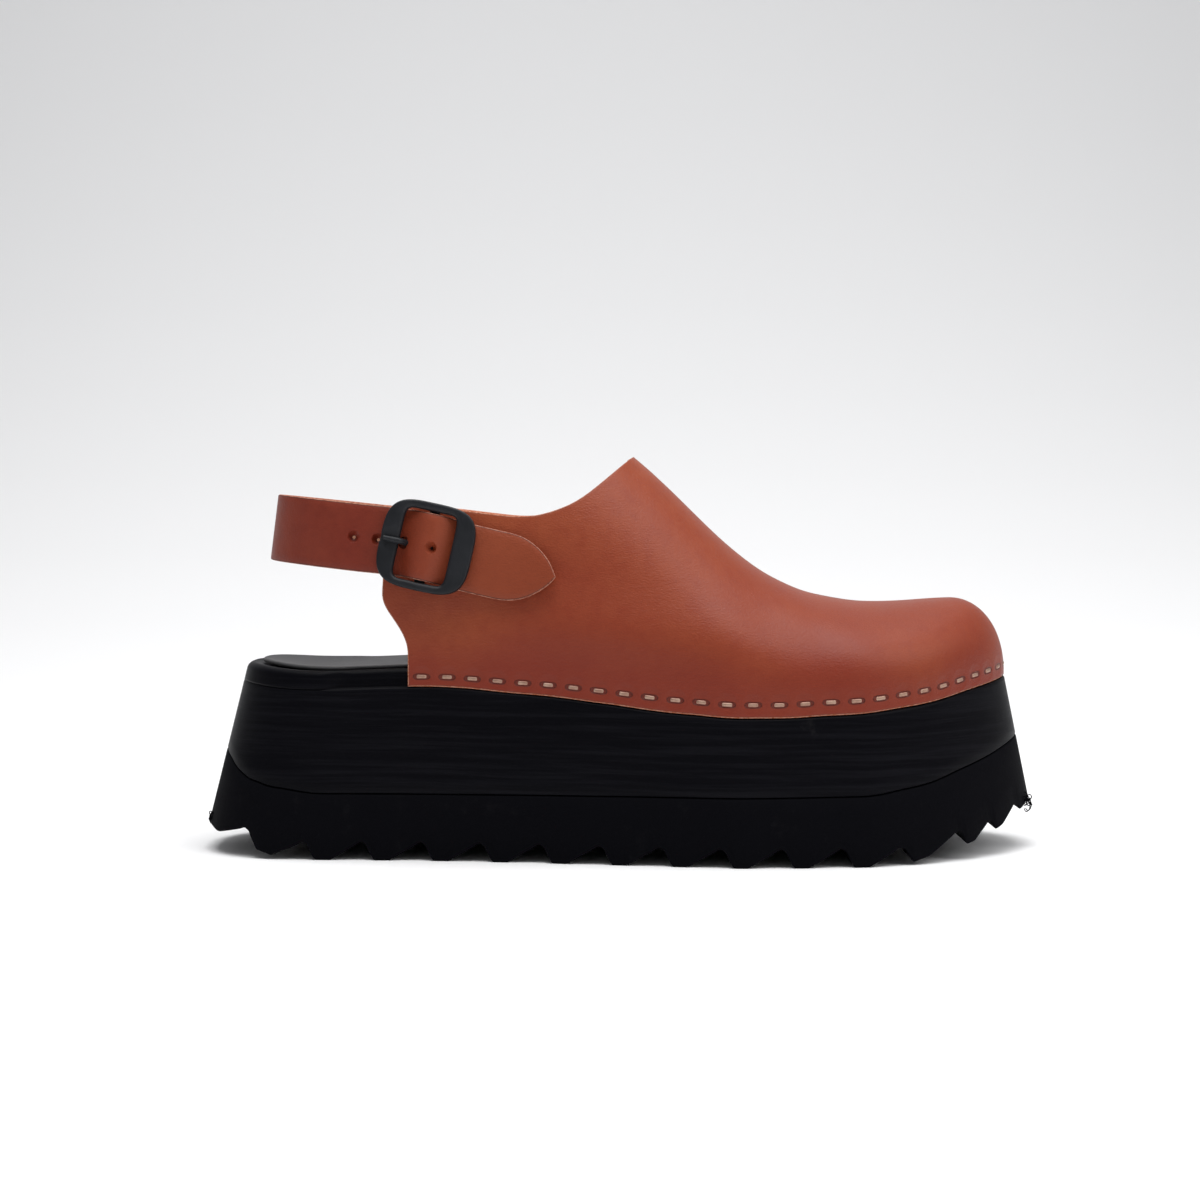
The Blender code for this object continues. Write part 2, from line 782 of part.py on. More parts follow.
def make_prong(parts, finish):
    """The pin: out from the centre bar, up through its hole and on to the rear bar."""
    radius = PRONG_DIAMETER / 2
    seat = buckle_level() + BUCKLE_THICKNESS - NOTCH_DEPTH + GAP + radius
    start = CENTRE_BAR_WIDTH / 2 + GAP
    hole = HOLE_PLACES[2]
    rear = BUCKLE_LENGTH / 2 - 0.2 * REAR_BAR
    edge = BUCKLE_LENGTH / 2 - REAR_BAR
    route = (
        (start, GAP + radius),
        (hole - 0.525 * HOLE_DIAMETER, 1.5 * GAP + radius),
        (hole + 0.05 * HOLE_DIAMETER, 0.50 * seat),
        (edge - 0.7 * PRONG_DIAMETER, 0.95 * seat),
        (edge, seat + GAP),
        (rear, seat),
    )
    curve = bpy.data.curves.new("buckle_prong", "CURVE")
    curve.dimensions = "3D"
    curve.bevel_depth = radius
    curve.bevel_resolution = 2
    curve.use_fill_caps = True
    spline = curve.splines.new("POLY")
    spline.points.add(len(route) - 1)
    for point, (behind, rise) in zip(spline.points, route):
        point.co = (-behind, 0, rise, 1)
    source = bpy.data.objects.new("buckle_prong_line", curve)
    bpy.context.scene.collection.objects.link(source)
    prong = evaluated_copy(source, "buckle_prong")
    bpy.data.objects.remove(source)
    prong.data.transform(buckle_frame_axes())
    return add_part(parts, prong, finish)


def main():
    for old in list(bpy.data.objects):
        bpy.data.objects.remove(old)
    parts = bpy.data.collections.new("clog")
    cutters = bpy.data.collections.new("clog_cutters")
    bpy.context.scene.collection.children.link(parts)
    bpy.context.scene.collection.children.link(cutters)
    rubber = material("black_rubber", (0.005, 0.005, 0.008), 0.75)
    paint = material("black_paint", (0.008, 0.008, 0.010), 0.38)
    lining = material("black_lining", (0.020, 0.020, 0.022), 0.60)
    vamp_leather = material("terracotta_leather", (0.250, 0.050, 0.024), 0.42)
    strap_leather = material("strap_leather", (0.170, 0.025, 0.014), 0.42)
    black_metal = material("black_metal", (0.020, 0.022, 0.024), 0.45, 0.6)
    pin_metal = material("pin_metal", (0.022, 0.024, 0.026), 0.40, 0.7)
    make_outsole(parts, cutters, rubber)
    make_platform(parts, paint)
    make_insole(parts, lining)
    make_upper(parts, vamp_leather)
    make_strap(parts, cutters, strap_leather)
    make_buckle_frame(parts, cutters, black_metal)
    make_prong(parts, pin_metal)


main()
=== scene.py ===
import math

import bmesh
import bpy
from mathutils import Matrix, Vector
from mathutils.kdtree import KDTree


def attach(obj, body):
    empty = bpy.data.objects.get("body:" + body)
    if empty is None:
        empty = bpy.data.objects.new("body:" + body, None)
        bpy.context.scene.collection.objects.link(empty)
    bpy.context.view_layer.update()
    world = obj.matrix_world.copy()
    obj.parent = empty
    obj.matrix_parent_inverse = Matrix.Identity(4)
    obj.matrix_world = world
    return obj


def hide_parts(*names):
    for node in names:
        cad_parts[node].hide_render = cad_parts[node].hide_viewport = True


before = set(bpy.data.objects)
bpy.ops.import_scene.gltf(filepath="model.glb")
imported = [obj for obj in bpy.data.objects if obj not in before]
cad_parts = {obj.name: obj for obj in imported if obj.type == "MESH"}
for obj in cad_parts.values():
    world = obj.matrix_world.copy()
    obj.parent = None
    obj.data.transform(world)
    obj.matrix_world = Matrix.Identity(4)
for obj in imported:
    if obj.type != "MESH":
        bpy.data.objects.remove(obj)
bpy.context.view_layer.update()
print("packed clog loaded")


# Camera and room

camera = {
    "lens": 66.45,            # mm on a 36 mm sensor
    "place": (-0.00715, -0.754, 0.1145),
    "pitchDown": 2.33,        # degrees
}

room = {
    "floorColour": (0.90, 0.90, 0.905),
    "worldColour": (0.93, 0.935, 0.95),
    "worldStrength": 0.36,
    "overheadPower": 15.0,
    "overheadSize": 1.0,
    "overheadPlace": (0.02, -0.12, 1.10),
    "sidePower": 3.0,
    "sideSize": 0.6,
    "sidePlace": (0.75, -0.35, 0.70),
    "wallPower": 9.0,
    "wallSize": 1.6,
    "wallPlace": (0, 0.75, 1.75),
    "wallTarget": (0, 2.3, 0.9),
    "wallGap": 2.3,           # how far behind the shoe the backdrop turns up
    "bendRadius": 1.9,
    "bendSteps": 16,
    "wallTop": 4,
    "floorReach": 12,
}


def makeCamera():
    data = bpy.data.cameras.new("photoCamera")
    data.lens = camera["lens"]
    data.sensor_width = 36
    data.clip_start = 0.01
    eye = bpy.data.objects.new("photoCamera", data)
    eye.location = camera["place"]
    eye.rotation_euler = (math.radians(90 - camera["pitchDown"]), 0, 0)
    bpy.context.scene.collection.objects.link(eye)
    bpy.context.scene.camera = eye


def makeLight(name, power, size, place, target=(0, 0, 0.06)):
    data = bpy.data.lights.new(name, "AREA")
    data.energy = power
    data.size = size
    lamp = bpy.data.objects.new(name, data)
    lamp.location = place
    lamp.rotation_euler = (Vector(target) - Vector(place)).to_track_quat("-Z", "Y").to_euler()
    bpy.context.scene.collection.objects.link(lamp)


def makeRoom():
    world = bpy.data.worlds.new("softRoom")
    world.use_nodes = True
    sky = world.node_tree.nodes["Background"]
    sky.inputs["Color"].default_value = (*room["worldColour"], 1)
    sky.inputs["Strength"].default_value = room["worldStrength"]
    bpy.context.scene.world = world
    makeLight("overhead", room["overheadPower"], room["overheadSize"], room["overheadPlace"])
    makeLight("sideLight", room["sidePower"], room["sideSize"], room["sidePlace"])
    makeLight("wallLight", room["wallPower"], room["wallSize"], room["wallPlace"], room["wallTarget"])
    radius = room["bendRadius"]
    bendStart = room["wallGap"] - radius
    profile = [(-room["floorReach"], 0), (bendStart, 0)]
    for step in range(1, room["bendSteps"] + 1):
        angle = math.pi / 2 * step / room["bendSteps"]
        profile.append((bendStart + radius * math.sin(angle), radius - radius * math.cos(angle)))
    profile.append((room["wallGap"], room["wallTop"]))
    mesh = bmesh.new()
    sides = (-room["floorReach"], room["floorReach"])
    rows = [[mesh.verts.new((x, y, z)) for x in sides] for y, z in profile]
    for near, far in zip(rows, rows[1:]):
        mesh.faces.new((near[0], near[1], far[1], far[0]))
    floor = meshObject("studioFloor", mesh, recalculate=False)
    paper = bpy.data.materials.new("studioPaper")
    paper.use_nodes = True
    shader = paper.node_tree.nodes["Principled BSDF"]
    shader.inputs["Base Color"].default_value = (*room["floorColour"], 1)
    shader.inputs["Roughness"].default_value = 0.85
    shader.inputs["Specular IOR Level"].default_value = 0.2
    floor.data.materials.append(paper)


# Small tools for shapes

def table(columns, *rows):
    names = columns.split()
    return {name: [row[place] for row in rows] for place, name in enumerate(names)}


def read(rows, column, at):      # a smooth value of a column at a place in the first one
    places = list(rows.values())[0]
    values = rows[column]
    if at <= places[0]:
        return values[0]
    if at >= places[-1]:
        return values[-1]
    steps = [after - before for before, after in zip(places, places[1:])]
    rates = [(after - before) / step for before, after, step in zip(values, values[1:], steps)]
    slopes = [rates[0]]
    for before, after in zip(rates, rates[1:]):
        slopes.append(2 * before * after / (before + after) if before * after > 0 else 0.0)
    slopes.append(rates[-1])
    cell = max(place for place in range(len(steps)) if places[place] <= at)
    share = (at - places[cell]) / steps[cell]
    start = values[cell] + slopes[cell] * steps[cell] * share
    end = values[cell + 1] - slopes[cell + 1] * steps[cell] * (1 - share)
    return mix(start, end, share * share * (3 - 2 * share))


def readSoft(rows, column, at, reach):     # the same, evened out over a reach to both sides
    shares = [step / 4 for step in range(-4, 5)]
    weights = [1.1 - abs(share) for share in shares]
    values = [read(rows, column, at + reach * share) for share in shares]
    return sum(value * weight for value, weight in zip(values, weights)) / sum(weights)


def mix(start, end, share):
    return start + (end - start) * share


def smooth(share):
    held = min(max(share, 0.0), 1.0)
    return held * held * (3 - 2 * held)


def superround(share, power):
    held = min(max(share, 0.0), 1.0)
    return (1 - held ** power) ** (1 / power)


def meshObject(name, mesh, merge=0.000004, recalculate=True):
    if recalculate:
        bmesh.ops.remove_doubles(mesh, verts=mesh.verts, dist=merge)
        bmesh.ops.dissolve_degenerate(mesh, edges=mesh.edges, dist=merge)
        bmesh.ops.recalc_face_normals(mesh, faces=mesh.faces)
    data = bpy.data.meshes.new(name)
    mesh.to_mesh(data)
    mesh.free()
    data.shade_smooth()
    piece = bpy.data.objects.new(name, data)
    bpy.context.scene.collection.objects.link(piece)
    return piece


def bridge(mesh, first, second, closed=False):
    count = len(first)
    for step in range(count if closed else count - 1):
        after = (step + 1) % count
        corners = []
        for corner in (first[step], first[after], second[after], second[step]):
            if corner not in corners:
                corners.append(corner)
        if len(corners) > 2:
            mesh.faces.new(corners)


def bakeModifiers(piece):        # a plain mesh of what the modifiers make
    bpy.context.view_layer.update()
    shown = piece.evaluated_get(bpy.context.evaluated_depsgraph_get())
    mesh = bpy.data.meshes.new_from_object(shown)
    piece.modifiers.clear()
    piece.data = mesh
    return piece


def newCurve(name, radius, roundness):
    curve = bpy.data.curves.new(name, "CURVE")
    curve.dimensions = "3D"
    curve.bevel_depth = radius
    curve.bevel_resolution = roundness
    curve.use_fill_caps = True
    return curve


def curveMesh(curve):
    source = bpy.data.objects.new(curve.name + "Line", curve)
    bpy.context.scene.collection.objects.link(source)
    bpy.context.view_layer.update()
    shown = source.evaluated_get(bpy.context.evaluated_depsgraph_get())
    data = bpy.data.meshes.new_from_object(shown)
    bpy.data.objects.remove(source)
    return data


def addPiece(piece, node, finish):
    piece.data.materials.clear()
    piece.data.materials.append(finish)
    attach(piece, "root")
    if node:
        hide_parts(node)
    print(piece.name, "made with", len(piece.data.polygons), "faces")


# The base: its outline and its lines along the length, in metres and in shares

base = {
    "length": 0.2805,
    "ballWidth": 0.101,
    "heelCorner": 0.0095,
    "toeCorner": 0.0165,
    "heelLean": 0.2514,
    "toeLean": 0.206,
    "sideLean": 0.065,
    "heelRound": 0.135,
    "heelPower": 2.3,
    "toeRound": 0.22,
    "toePower": 2.0,
    "bondHeight": 0.022,
    "ledgeHeight": 0.0573,
    "rimHeight": 0.0060,
    "rimRadius": 0.0020,
    "rebateDepth": 0.0029,
    "rebateStart": 0.115,
    "rebateEnd": 0.135,
    "dishDepth": 0.0012,
    "gap": 0.0003,
    "stations": 150,
}

plan = table(
    "along centre half",
    (0.00, 0.030, 0.352),
    (0.22, 0.017, 0.357),
    (0.36, -0.012, 0.368),
    (0.47, -0.027, 0.405),
    (0.58, -0.025, 0.460),
    (0.66, -0.012, 0.495),
    (0.74, 0.007, 0.500),
    (0.84, 0.032, 0.474),
    (0.94, 0.064, 0.429),
    (1.00, 0.079, 0.392),
)

rocker = table(
    "along lift",
    (0.000, 0.57),
    (0.030, 0.37),
    (0.070, 0.18),
    (0.125, 0.00),
    (0.803, 0.00),
    (0.860, 0.17),
    (0.920, 0.39),
    (0.960, 0.65),
    (1.000, 0.97),
)

bondLine = table(
    "along height",
    (0.000, 1.55),
    (0.016, 1.42),
    (0.033, 1.26),
    (0.058, 1.13),
    (0.090, 1.05),
    (0.160, 0.98),
    (0.500, 1.00),
    (0.760, 1.02),
    (0.825, 1.10),
    (0.905, 1.34),
    (1.000, 1.72),
)

ledgeLine = table(
    "along height",
    (0.00, 1.000),
    (0.11, 0.972),
    (0.22, 0.985),
    (0.36, 0.952),
    (0.47, 0.902),
    (0.58, 0.846),
    (0.66, 0.829),
    (0.74, 0.841),
    (0.84, 0.878),
    (0.94, 0.960),
    (1.00, 1.010),
)

outer = -1                       # the side of the little toe
inner = 1


def heelX(height):
    return -base["length"] / 2 + base["heelLean"] * (height - base["heelCorner"])


def toeX(height):
    return base["length"] / 2 - base["toeLean"] * (height - base["toeCorner"])


def placeX(along, height, inset=0.0):
    return mix(heelX(height) + inset, toeX(height) - inset, along)


def endRounding(along):
    heel = superround((base["heelRound"] - along) / base["heelRound"], base["heelPower"])
    toe = superround((along - 1 + base["toeRound"]) / base["toeRound"], base["toePower"])
    return heel * toe


def centreY(along):
    return read(plan, "centre", along) * base["ballWidth"]


def wallPoint(along, height, side, inset=0.0):
    body = read(plan, "half", along) * base["ballWidth"]
    body *= 1 - base["sideLean"] * height / (base["ballWidth"] / 2)
    y = centreY(along) + side * (body - inset) * endRounding(along)
    return Vector((placeX(along, height, inset), y, height))


def bond(along):
    return read(bondLine, "height", along) * base["bondHeight"]


def ledge(along):
    return read(ledgeLine, "height", along) * base["ledgeHeight"]


def rim(along):
    return ledge(along) + base["rimHeight"]


def rebate(along):
    span = base["rebateEnd"] - base["rebateStart"]
    return base["rebateDepth"] * smooth((along - base["rebateStart"]) / span)


def sharesOf(count):             # closer together near heel and toe
    return [0.5 - 0.5 * math.cos(math.pi * step / count) for step in range(count + 1)]


def ringLoft(name, shares, rings, across, sinks):
    mesh = bmesh.new()
    rows = []
    for ring in rings:
        row = [mesh.verts.new(ring(along, outer)) for along in shares]
        row += [mesh.verts.new(ring(along, inner)) for along in reversed(shares[1:-1])]
        rows.append(row)
    for lower, upper in zip(rows, rows[1:]):
        bridge(mesh, lower, upper, closed=True)
    last = len(shares) - 1
    for row, sink in ((rows[0], sinks[0]), (rows[-1], sinks[1])):
        near = row[:last + 1]
        far = [near[0]] + list(reversed(row[last + 1:])) + [near[last]]
        strips = [near]
        for column in range(1, across):
            share = 0.5 - 0.5 * math.cos(math.pi * column / across)
            strip = [near[0]]
            for step in range(1, last):
                point = near[step].co.lerp(far[step].co, share)
                point.z -= sink(shares[step], 2 * share - 1)
                strip.append(mesh.verts.new(point))
            strip.append(near[last])
            strips.append(strip)
        strips.append(far)
        for before, after in zip(strips, strips[1:]):
            bridge(mesh, before, after)
    return meshObject(name, mesh)


def noSink(along, across):
    return 0.0


def footbedSink(along, across):
    return base["dishDepth"] * (1 - across * across) * endRounding(along)


def makePlatform(finish):
    edge = 0.0005                # soft corner where wood meets rubber
    radius = base["rimRadius"]

    def ring(line, lift, depth, cut):
        return lambda along, side: wallPoint(along, line(along) + lift, side,
                                             depth + (rebate(along) if cut else 0.0))

    rings = [
        ring(bond, base["gap"], edge, False),
        ring(bond, base["gap"] + 0.3 * edge, 0.3 * edge, False),
        ring(bond, base["gap"] + edge, 0.0, False),
        ring(bond, base["gap"] + 0.004, 0.0, False),
        ring(ledge, -0.008, 0.0, False),
        ring(ledge, -0.0012, 0.0, False),
        ring(ledge, -0.0005, 0.0, False),
        ring(ledge, -0.0001, 0.0003, False),
        ring(ledge, 0.0, 0.0006, False),
        ring(ledge, 0.0, 0.0, True),
        ring(ledge, 0.0006, 0.0, True),
        ring(rim, -radius, 0.0, True),
    ]
    for step in range(1, 7):
        angle = math.pi / 2 * step / 6
        rings.append(ring(rim, -radius * (1 - math.sin(angle)), radius * (1 - math.cos(angle)), True))
    platform = ringLoft("platformWood", sharesOf(base["stations"]), rings, 12, (noSink, footbedSink))
    addPiece(platform, "platform", finish)


insoleSizes = {"thickness": 0.0012, "inset": 0.0050, "edge": 0.0004, "seat": 0.00035,
               "stations": 110}


def makeInsole(finish):
    edge = insoleSizes["edge"]
    top = base["gap"] + insoleSizes["thickness"]

    def ring(rise, depth):
        inset = insoleSizes["inset"] + depth
        return lambda along, side: (wallPoint(along, rim(along), side, rebate(along) + inset)
                                    + Vector((0, 0, rise - insoleSizes["seat"])))

    rings = [ring(base["gap"], edge), ring(base["gap"] + 0.3 * edge, 0), ring(top - edge, 0),
             ring(top - 0.3 * edge, 0.3 * edge), ring(top, edge), ring(top, 3 * edge)]
    insole = ringLoft("insoleCover", sharesOf(insoleSizes["stations"]), rings, 12, (footbedSink, footbedSink))
    addPiece(insole, "insole", finish)


# The rubber sole with its saw teeth

teeth = {
    "pitch": 0.0195,
    "depth": 0.0059,
    "count": 12,
    "start": -0.1438,
    "soften": 0.0004,
    "edge": 0.0006,
    "endShare": 0.02,            # of the length, with closer sections
    "endSections": 14,
    "sections": 560,
}

toeTeeth = table(
    "pitch depth",
    (1.06, 0.95),
    (0.59, 0.75),
    (0.54, 0.62),
    (0.54, 0.50),
)

toothShape = table(
    "along height",
    (0.00, 1.00),
    (0.07, 0.86),
    (0.20, 0.00),
    (0.45, 0.00),
    (0.88, 0.82),
    (0.95, 0.97),
)


def toothLine():
    points = []
    start = teeth["start"]
    pitches = [(teeth["pitch"], teeth["depth"])] * teeth["count"]
    pitches += [(pitch * teeth["pitch"], depth * teeth["depth"])
                for pitch, depth in zip(toeTeeth["pitch"], toeTeeth["depth"])]
    for pitch, depth in pitches:
        for along, height in zip(toothShape["along"], toothShape["height"]):
            x = start + along * pitch
            lift = read(rocker, "lift", (x + base["length"] / 2) / base["length"]) * base["toeCorner"]
            points.append((x, lift + height * depth))
        start += pitch
    return points


def makeOutsole(finish):
    line = toothLine()

    def sharp(x):
        for (x0, z0), (x1, z1) in zip(line, line[1:]):
            if x <= x1:
                return mix(z0, z1, (x - x0) / (x1 - x0)) if x > x0 else z0
        return line[-1][1]

    def rounded(x):
        reach = teeth["soften"]
        return max(sum(sharp(x + reach * step / 3) for step in range(-3, 4)) / 7, sharp(x))

    def bottomAt(along):
        height = 0.004
        for turn in range(4):
            height = rounded(placeX(along, height))
        return height

    end = teeth["endShare"]
    ends = [end * (step / teeth["endSections"]) ** 2 for step in range(teeth["endSections"])]
    middle = [mix(end, 1 - end, step / teeth["sections"]) for step in range(teeth["sections"] + 1)]
    shares = ends + middle + [1 - share for share in reversed(ends)]
    heights = {along: bottomAt(along) for along in shares}
    edge = teeth["edge"]
    rings = [
        lambda along, side: wallPoint(along, heights[along], side, edge),
        lambda along, side: wallPoint(along, heights[along] + 0.3 * edge, side, 0.3 * edge),
        lambda along, side: wallPoint(along, heights[along] + edge, side),
        lambda along, side: wallPoint(along, mix(heights[along], bond(along), 0.4), side),
        lambda along, side: wallPoint(along, mix(heights[along], bond(along), 0.7), side),
        lambda along, side: wallPoint(along, bond(along) - edge, side),
        lambda along, side: wallPoint(along, bond(along) - 0.3 * edge, side, 0.3 * edge),
        lambda along, side: wallPoint(along, bond(along), side, edge),
    ]
    outsole = ringLoft("outsoleRubber", shares, rings, 6, (noSink, noSink))
    addPiece(outsole, "outsole", finish)


# The leather upper

upperSizes = {
    "wall": 0.0024,
    "edgeRound": 0.0006,
    "instepHeight": 0.1325,
    "throatAlong": 0.510,
    "rearAlong": 0.224,
    "crestShift": 0.10,
    "toeBoxStart": 0.85,
    "toeBoxPower": 2.1,
    "ankleRise": 0.060,
    "ankleSlope": 0.85,
    "bulge": 0.035,
    "setback": 0.0091,
    "columns": 46,
    "crestEven": 0.07,           # how far the tables are evened out
    "topEven": 0.032,
    "rearEven": 0.07,
    "rearFade": 0.09,
    "throatReach": 0.04,         # closer sections behind the throat
}

crestLine = table(
    "along height",
    (0.00, 1.000),
    (0.07, 0.941),
    (0.18, 0.836),
    (0.28, 0.749),
    (0.39, 0.680),
    (0.50, 0.643),
    (0.66, 0.627),
    (0.82, 0.636),
    (1.00, 0.640),
)

topLine = table(
    "along height",
    (0.18, 0.862),
    (0.25, 0.866),
    (0.316, 0.859),
    (0.366, 0.849),
    (0.416, 0.869),
    (0.465, 0.928),
    (0.491, 0.972),
    (0.510, 1.000),
)

rearEdge = table(
    "rise back",
    (0.00, 0.00),
    (0.19, 0.00),
    (0.30, 0.21),
    (0.41, 0.71),
    (0.51, 1.00),
    (0.60, 0.95),
    (1.00, 0.98),
)

squareness = table(
    "along power",
    (0.20, 2.30),
    (0.51, 2.10),
    (0.75, 2.40),
    (1.00, 2.50),
)


def footHeight(along):           # the leather's lower edge
    return ledge(along) + base["gap"]


def crestHeight(along):
    sizes = upperSizes
    throat = sizes["throatAlong"]
    if along < throat:
        behind = (throat - along) * base["length"]
        lift = sizes["ankleRise"] * (1 - math.exp(-sizes["ankleSlope"] * behind / sizes["ankleRise"]))
        return sizes["instepHeight"] + lift
    share = (along - throat) / (1 - throat)
    top = readSoft(crestLine, "height", share, min(sizes["crestEven"], share)) * sizes["instepHeight"]
    start = sizes["toeBoxStart"]
    return mix(footHeight(along), top, superround((share - start) / (1 - start), sizes["toeBoxPower"]))


def archY(along, side, rise):
    foot = wallPoint(along, ledge(along), side, base["gap"] / 3).y
    crest = centreY(along) + upperSizes["crestShift"] * abs(foot - centreY(along))
    swell = 1 + upperSizes["bulge"] * math.sin(math.pi * rise) ** 2
    return crest + (foot - crest) * superround(rise, read(squareness, "power", along)) * swell


def archPoint(along, side, rise):
    x = placeX(along, ledge(along), base["gap"] / 3)
    return Vector((x, archY(along, side, rise), mix(footHeight(along), crestHeight(along), rise)))


def topRise(along):
    if along >= upperSizes["throatAlong"]:
        return 1.0
    foot = footHeight(along)
    reach = min(upperSizes["topEven"], upperSizes["throatAlong"] - along)
    top = readSoft(topLine, "height", along, reach) * upperSizes["instepHeight"]
    return (top - foot) / (crestHeight(along) - foot)


def upperPoint(along, side, share):
    power = read(squareness, "power", along)
    widest = math.asin(min(1.0, topRise(along) ** (power / 2)))
    rise = math.sin(widest * share) ** (2 / power)
    fade = smooth(1 - (along - upperSizes["rearAlong"]) / upperSizes["rearFade"])
    share = rise / topRise(along)
    back = readSoft(rearEdge, "back", share, min(upperSizes["rearEven"], share)) * upperSizes["setback"]
    return archPoint(along - back / base["length"] * fade, side, rise)


def upperShares():
    throat = upperSizes["throatAlong"]
    reach = upperSizes["throatReach"]
    quarter = [mix(upperSizes["rearAlong"], throat - reach, step / 40) for step in range(40)]
    near = [throat - reach * (1 - step / 16) ** 2 for step in range(16)]
    vamp = [mix(throat, 1.0, math.sin(math.pi / 2 * step / 90)) for step in range(91)]
    return quarter + near + vamp


def gridNormals(rows):           # outward directions of a grid of points
    normals = []
    for place, row in enumerate(rows):
        before = rows[max(place - 1, 0)]
        after = rows[min(place + 1, len(rows) - 1)]
        line = []
        for step in range(len(row)):
            along = after[step] - before[step]
            up = row[min(step + 1, len(row) - 1)] - row[max(step - 1, 0)]
            line.append(along.cross(up))
        normals.append(line)
    return normals


# Soft ridges and troughs of the leather: places and sizes in metres, the tilt in degrees

folds = table(
    "x z long wide tilt height side",
    (0.000, 0.0745, 0.046, 0.0085, -3, 0.00090, outer),
    (-0.004, 0.0925, 0.036, 0.0120, -12, -0.00070, outer),
    (0.036, 0.0870, 0.030, 0.0070, -38, -0.00080, outer),
    (0.060, 0.0790, 0.026, 0.0060, -24, 0.00060, outer),
    (0.092, 0.0700, 0.026, 0.0070, 8, 0.00045, outer),
    (-0.050, 0.0800, 0.020, 0.0080, 8, -0.00050, outer),
    (0.004, 0.0720, 0.044, 0.0110, 4, 0.00070, inner),
    (-0.010, 0.0900, 0.034, 0.0120, -8, -0.00075, inner),
    (0.040, 0.0850, 0.028, 0.0070, -34, -0.00045, inner),
    (0.070, 0.0760, 0.026, 0.0060, -20, 0.00040, inner),
)


def foldRise(point, side):
    rise = 0.0
    for x, z, reach, width, tilt, height, where in zip(*folds.values()):
        turn = math.radians(tilt)
        along = (math.cos(turn) * (point.x - x) + math.sin(turn) * (point.z - z)) / reach
        across = (math.cos(turn) * (point.z - z) - math.sin(turn) * (point.x - x)) / width
        if where == side:
            rise += height * math.exp(-along * along - across * across)
    return rise


def makeUpper(finish):
    count = upperSizes["columns"]
    shares = upperShares()
    wall = upperSizes["wall"]
    soft = upperSizes["edgeRound"]
    sheets = {}
    for side in (outer, inner):
        spread = [(step / count) ** 1.15 for step in range(count + 1)]
        sheets[side] = [[upperPoint(along, side, part) for part in spread] for along in shares]
    throatRow = next(row for row, along in enumerate(shares) if along >= upperSizes["throatAlong"])
    mesh = bmesh.new()
    cut = mesh.verts.layers.float.new("cutEdge")
    lined = mesh.verts.layers.float.new("fleshSide")
    for side in (outer, inner):
        rows = sheets[side]
        normals = gridNormals(rows)
        other = sheets[-side]
        outSide, inSide = [], []
        for place, row in enumerate(rows):
            outLine, inLine = [], []
            for step, point in enumerate(row):
                normal = normals[place][step] * -side
                if step == count and place >= throatRow:     # the crest: both sides share a normal
                    across = other[place][step - 1] - row[step - 1]
                    ahead = rows[min(place + 1, len(rows) - 1)][step] - rows[place - 1][step]
                    normal = across.cross(ahead) * side
                if place == len(rows) - 1:
                    normal = Vector((1, 0, 0))
                normal.normalize()
                raised = point + normal * foldRise(point, side)
                outLine.append((raised, normal))
                inLine.append((raised - normal * wall, normal))
            outSide.append([mesh.verts.new(spot) for spot, normal in outLine])
            inSide.append([mesh.verts.new(spot) for spot, normal in inLine])
        for vert in (vert for line in inSide for vert in line):
            vert[lined] = 1.0
        for sheet in (outSide, inSide):
            for before, after in zip(sheet, sheet[1:]):
                bridge(mesh, before, after)
        rearLine = [(outSide[0][step], inSide[0][step], rows[0][step] - rows[1][step])
                    for step in range(count + 1)]
        topBorder = [(outSide[row][count], inSide[row][count], rows[row][count] - rows[row][count - 1])
                     for row in range(throatRow + 1)]
        topBorder[-1] = (*topBorder[-1][:2], rows[throatRow][count] - rows[throatRow + 1][count])
        corner = rearLine[count][2].normalized() + topBorder[0][2].normalized()
        topBorder[0] = (*topBorder[0][:2], corner)
        down = Vector((0, 0, -1))
        foot = [(outSide[-1][step], inSide[-1][step], down) for step in range(count, 0, -1)]
        foot += [(outSide[row][0], inSide[row][0], down) for row in range(len(rows) - 1, 0, -1)]
        rearLine[0] = (*rearLine[0][:2], rearLine[0][2].normalized() + down)
        roundBorder(mesh, foot + rearLine[:-1] + topBorder, soft, cut)
    upper = meshObject("leatherUpper", mesh)
    mapEdge(upper)
    addPiece(upper, "upper", finish)


def roundBorder(mesh, border, soft, cut):       # a rounded cut edge between two faces of the leather
    loops = []
    for near, far, outward in border:
        ahead = outward.normalized()
        across = near.co - far.co
        wall = across.length
        normal = across / wall
        near.co -= ahead * soft
        far.co -= ahead * soft
        line = [near]
        for turn in (30, 60, 90):
            angle = math.radians(turn)
            place = near.co + normal * soft * (math.cos(angle) - 1) + ahead * soft * math.sin(angle)
            line.append(mesh.verts.new(place))
        for turn in (0, 30, 60):
            angle = math.radians(turn)
            place = far.co + normal * soft * (1 - math.sin(angle)) + ahead * soft * math.cos(angle)
            line.append(mesh.verts.new(place))
        line.append(far)
        for vert in line[1:-1]:
            vert[cut] = 1.0
        loops.append(line)
    for before, after in zip(loops, loops[1:]):
        bridge(mesh, before, after)


# The heel strap with its holes and pointed end

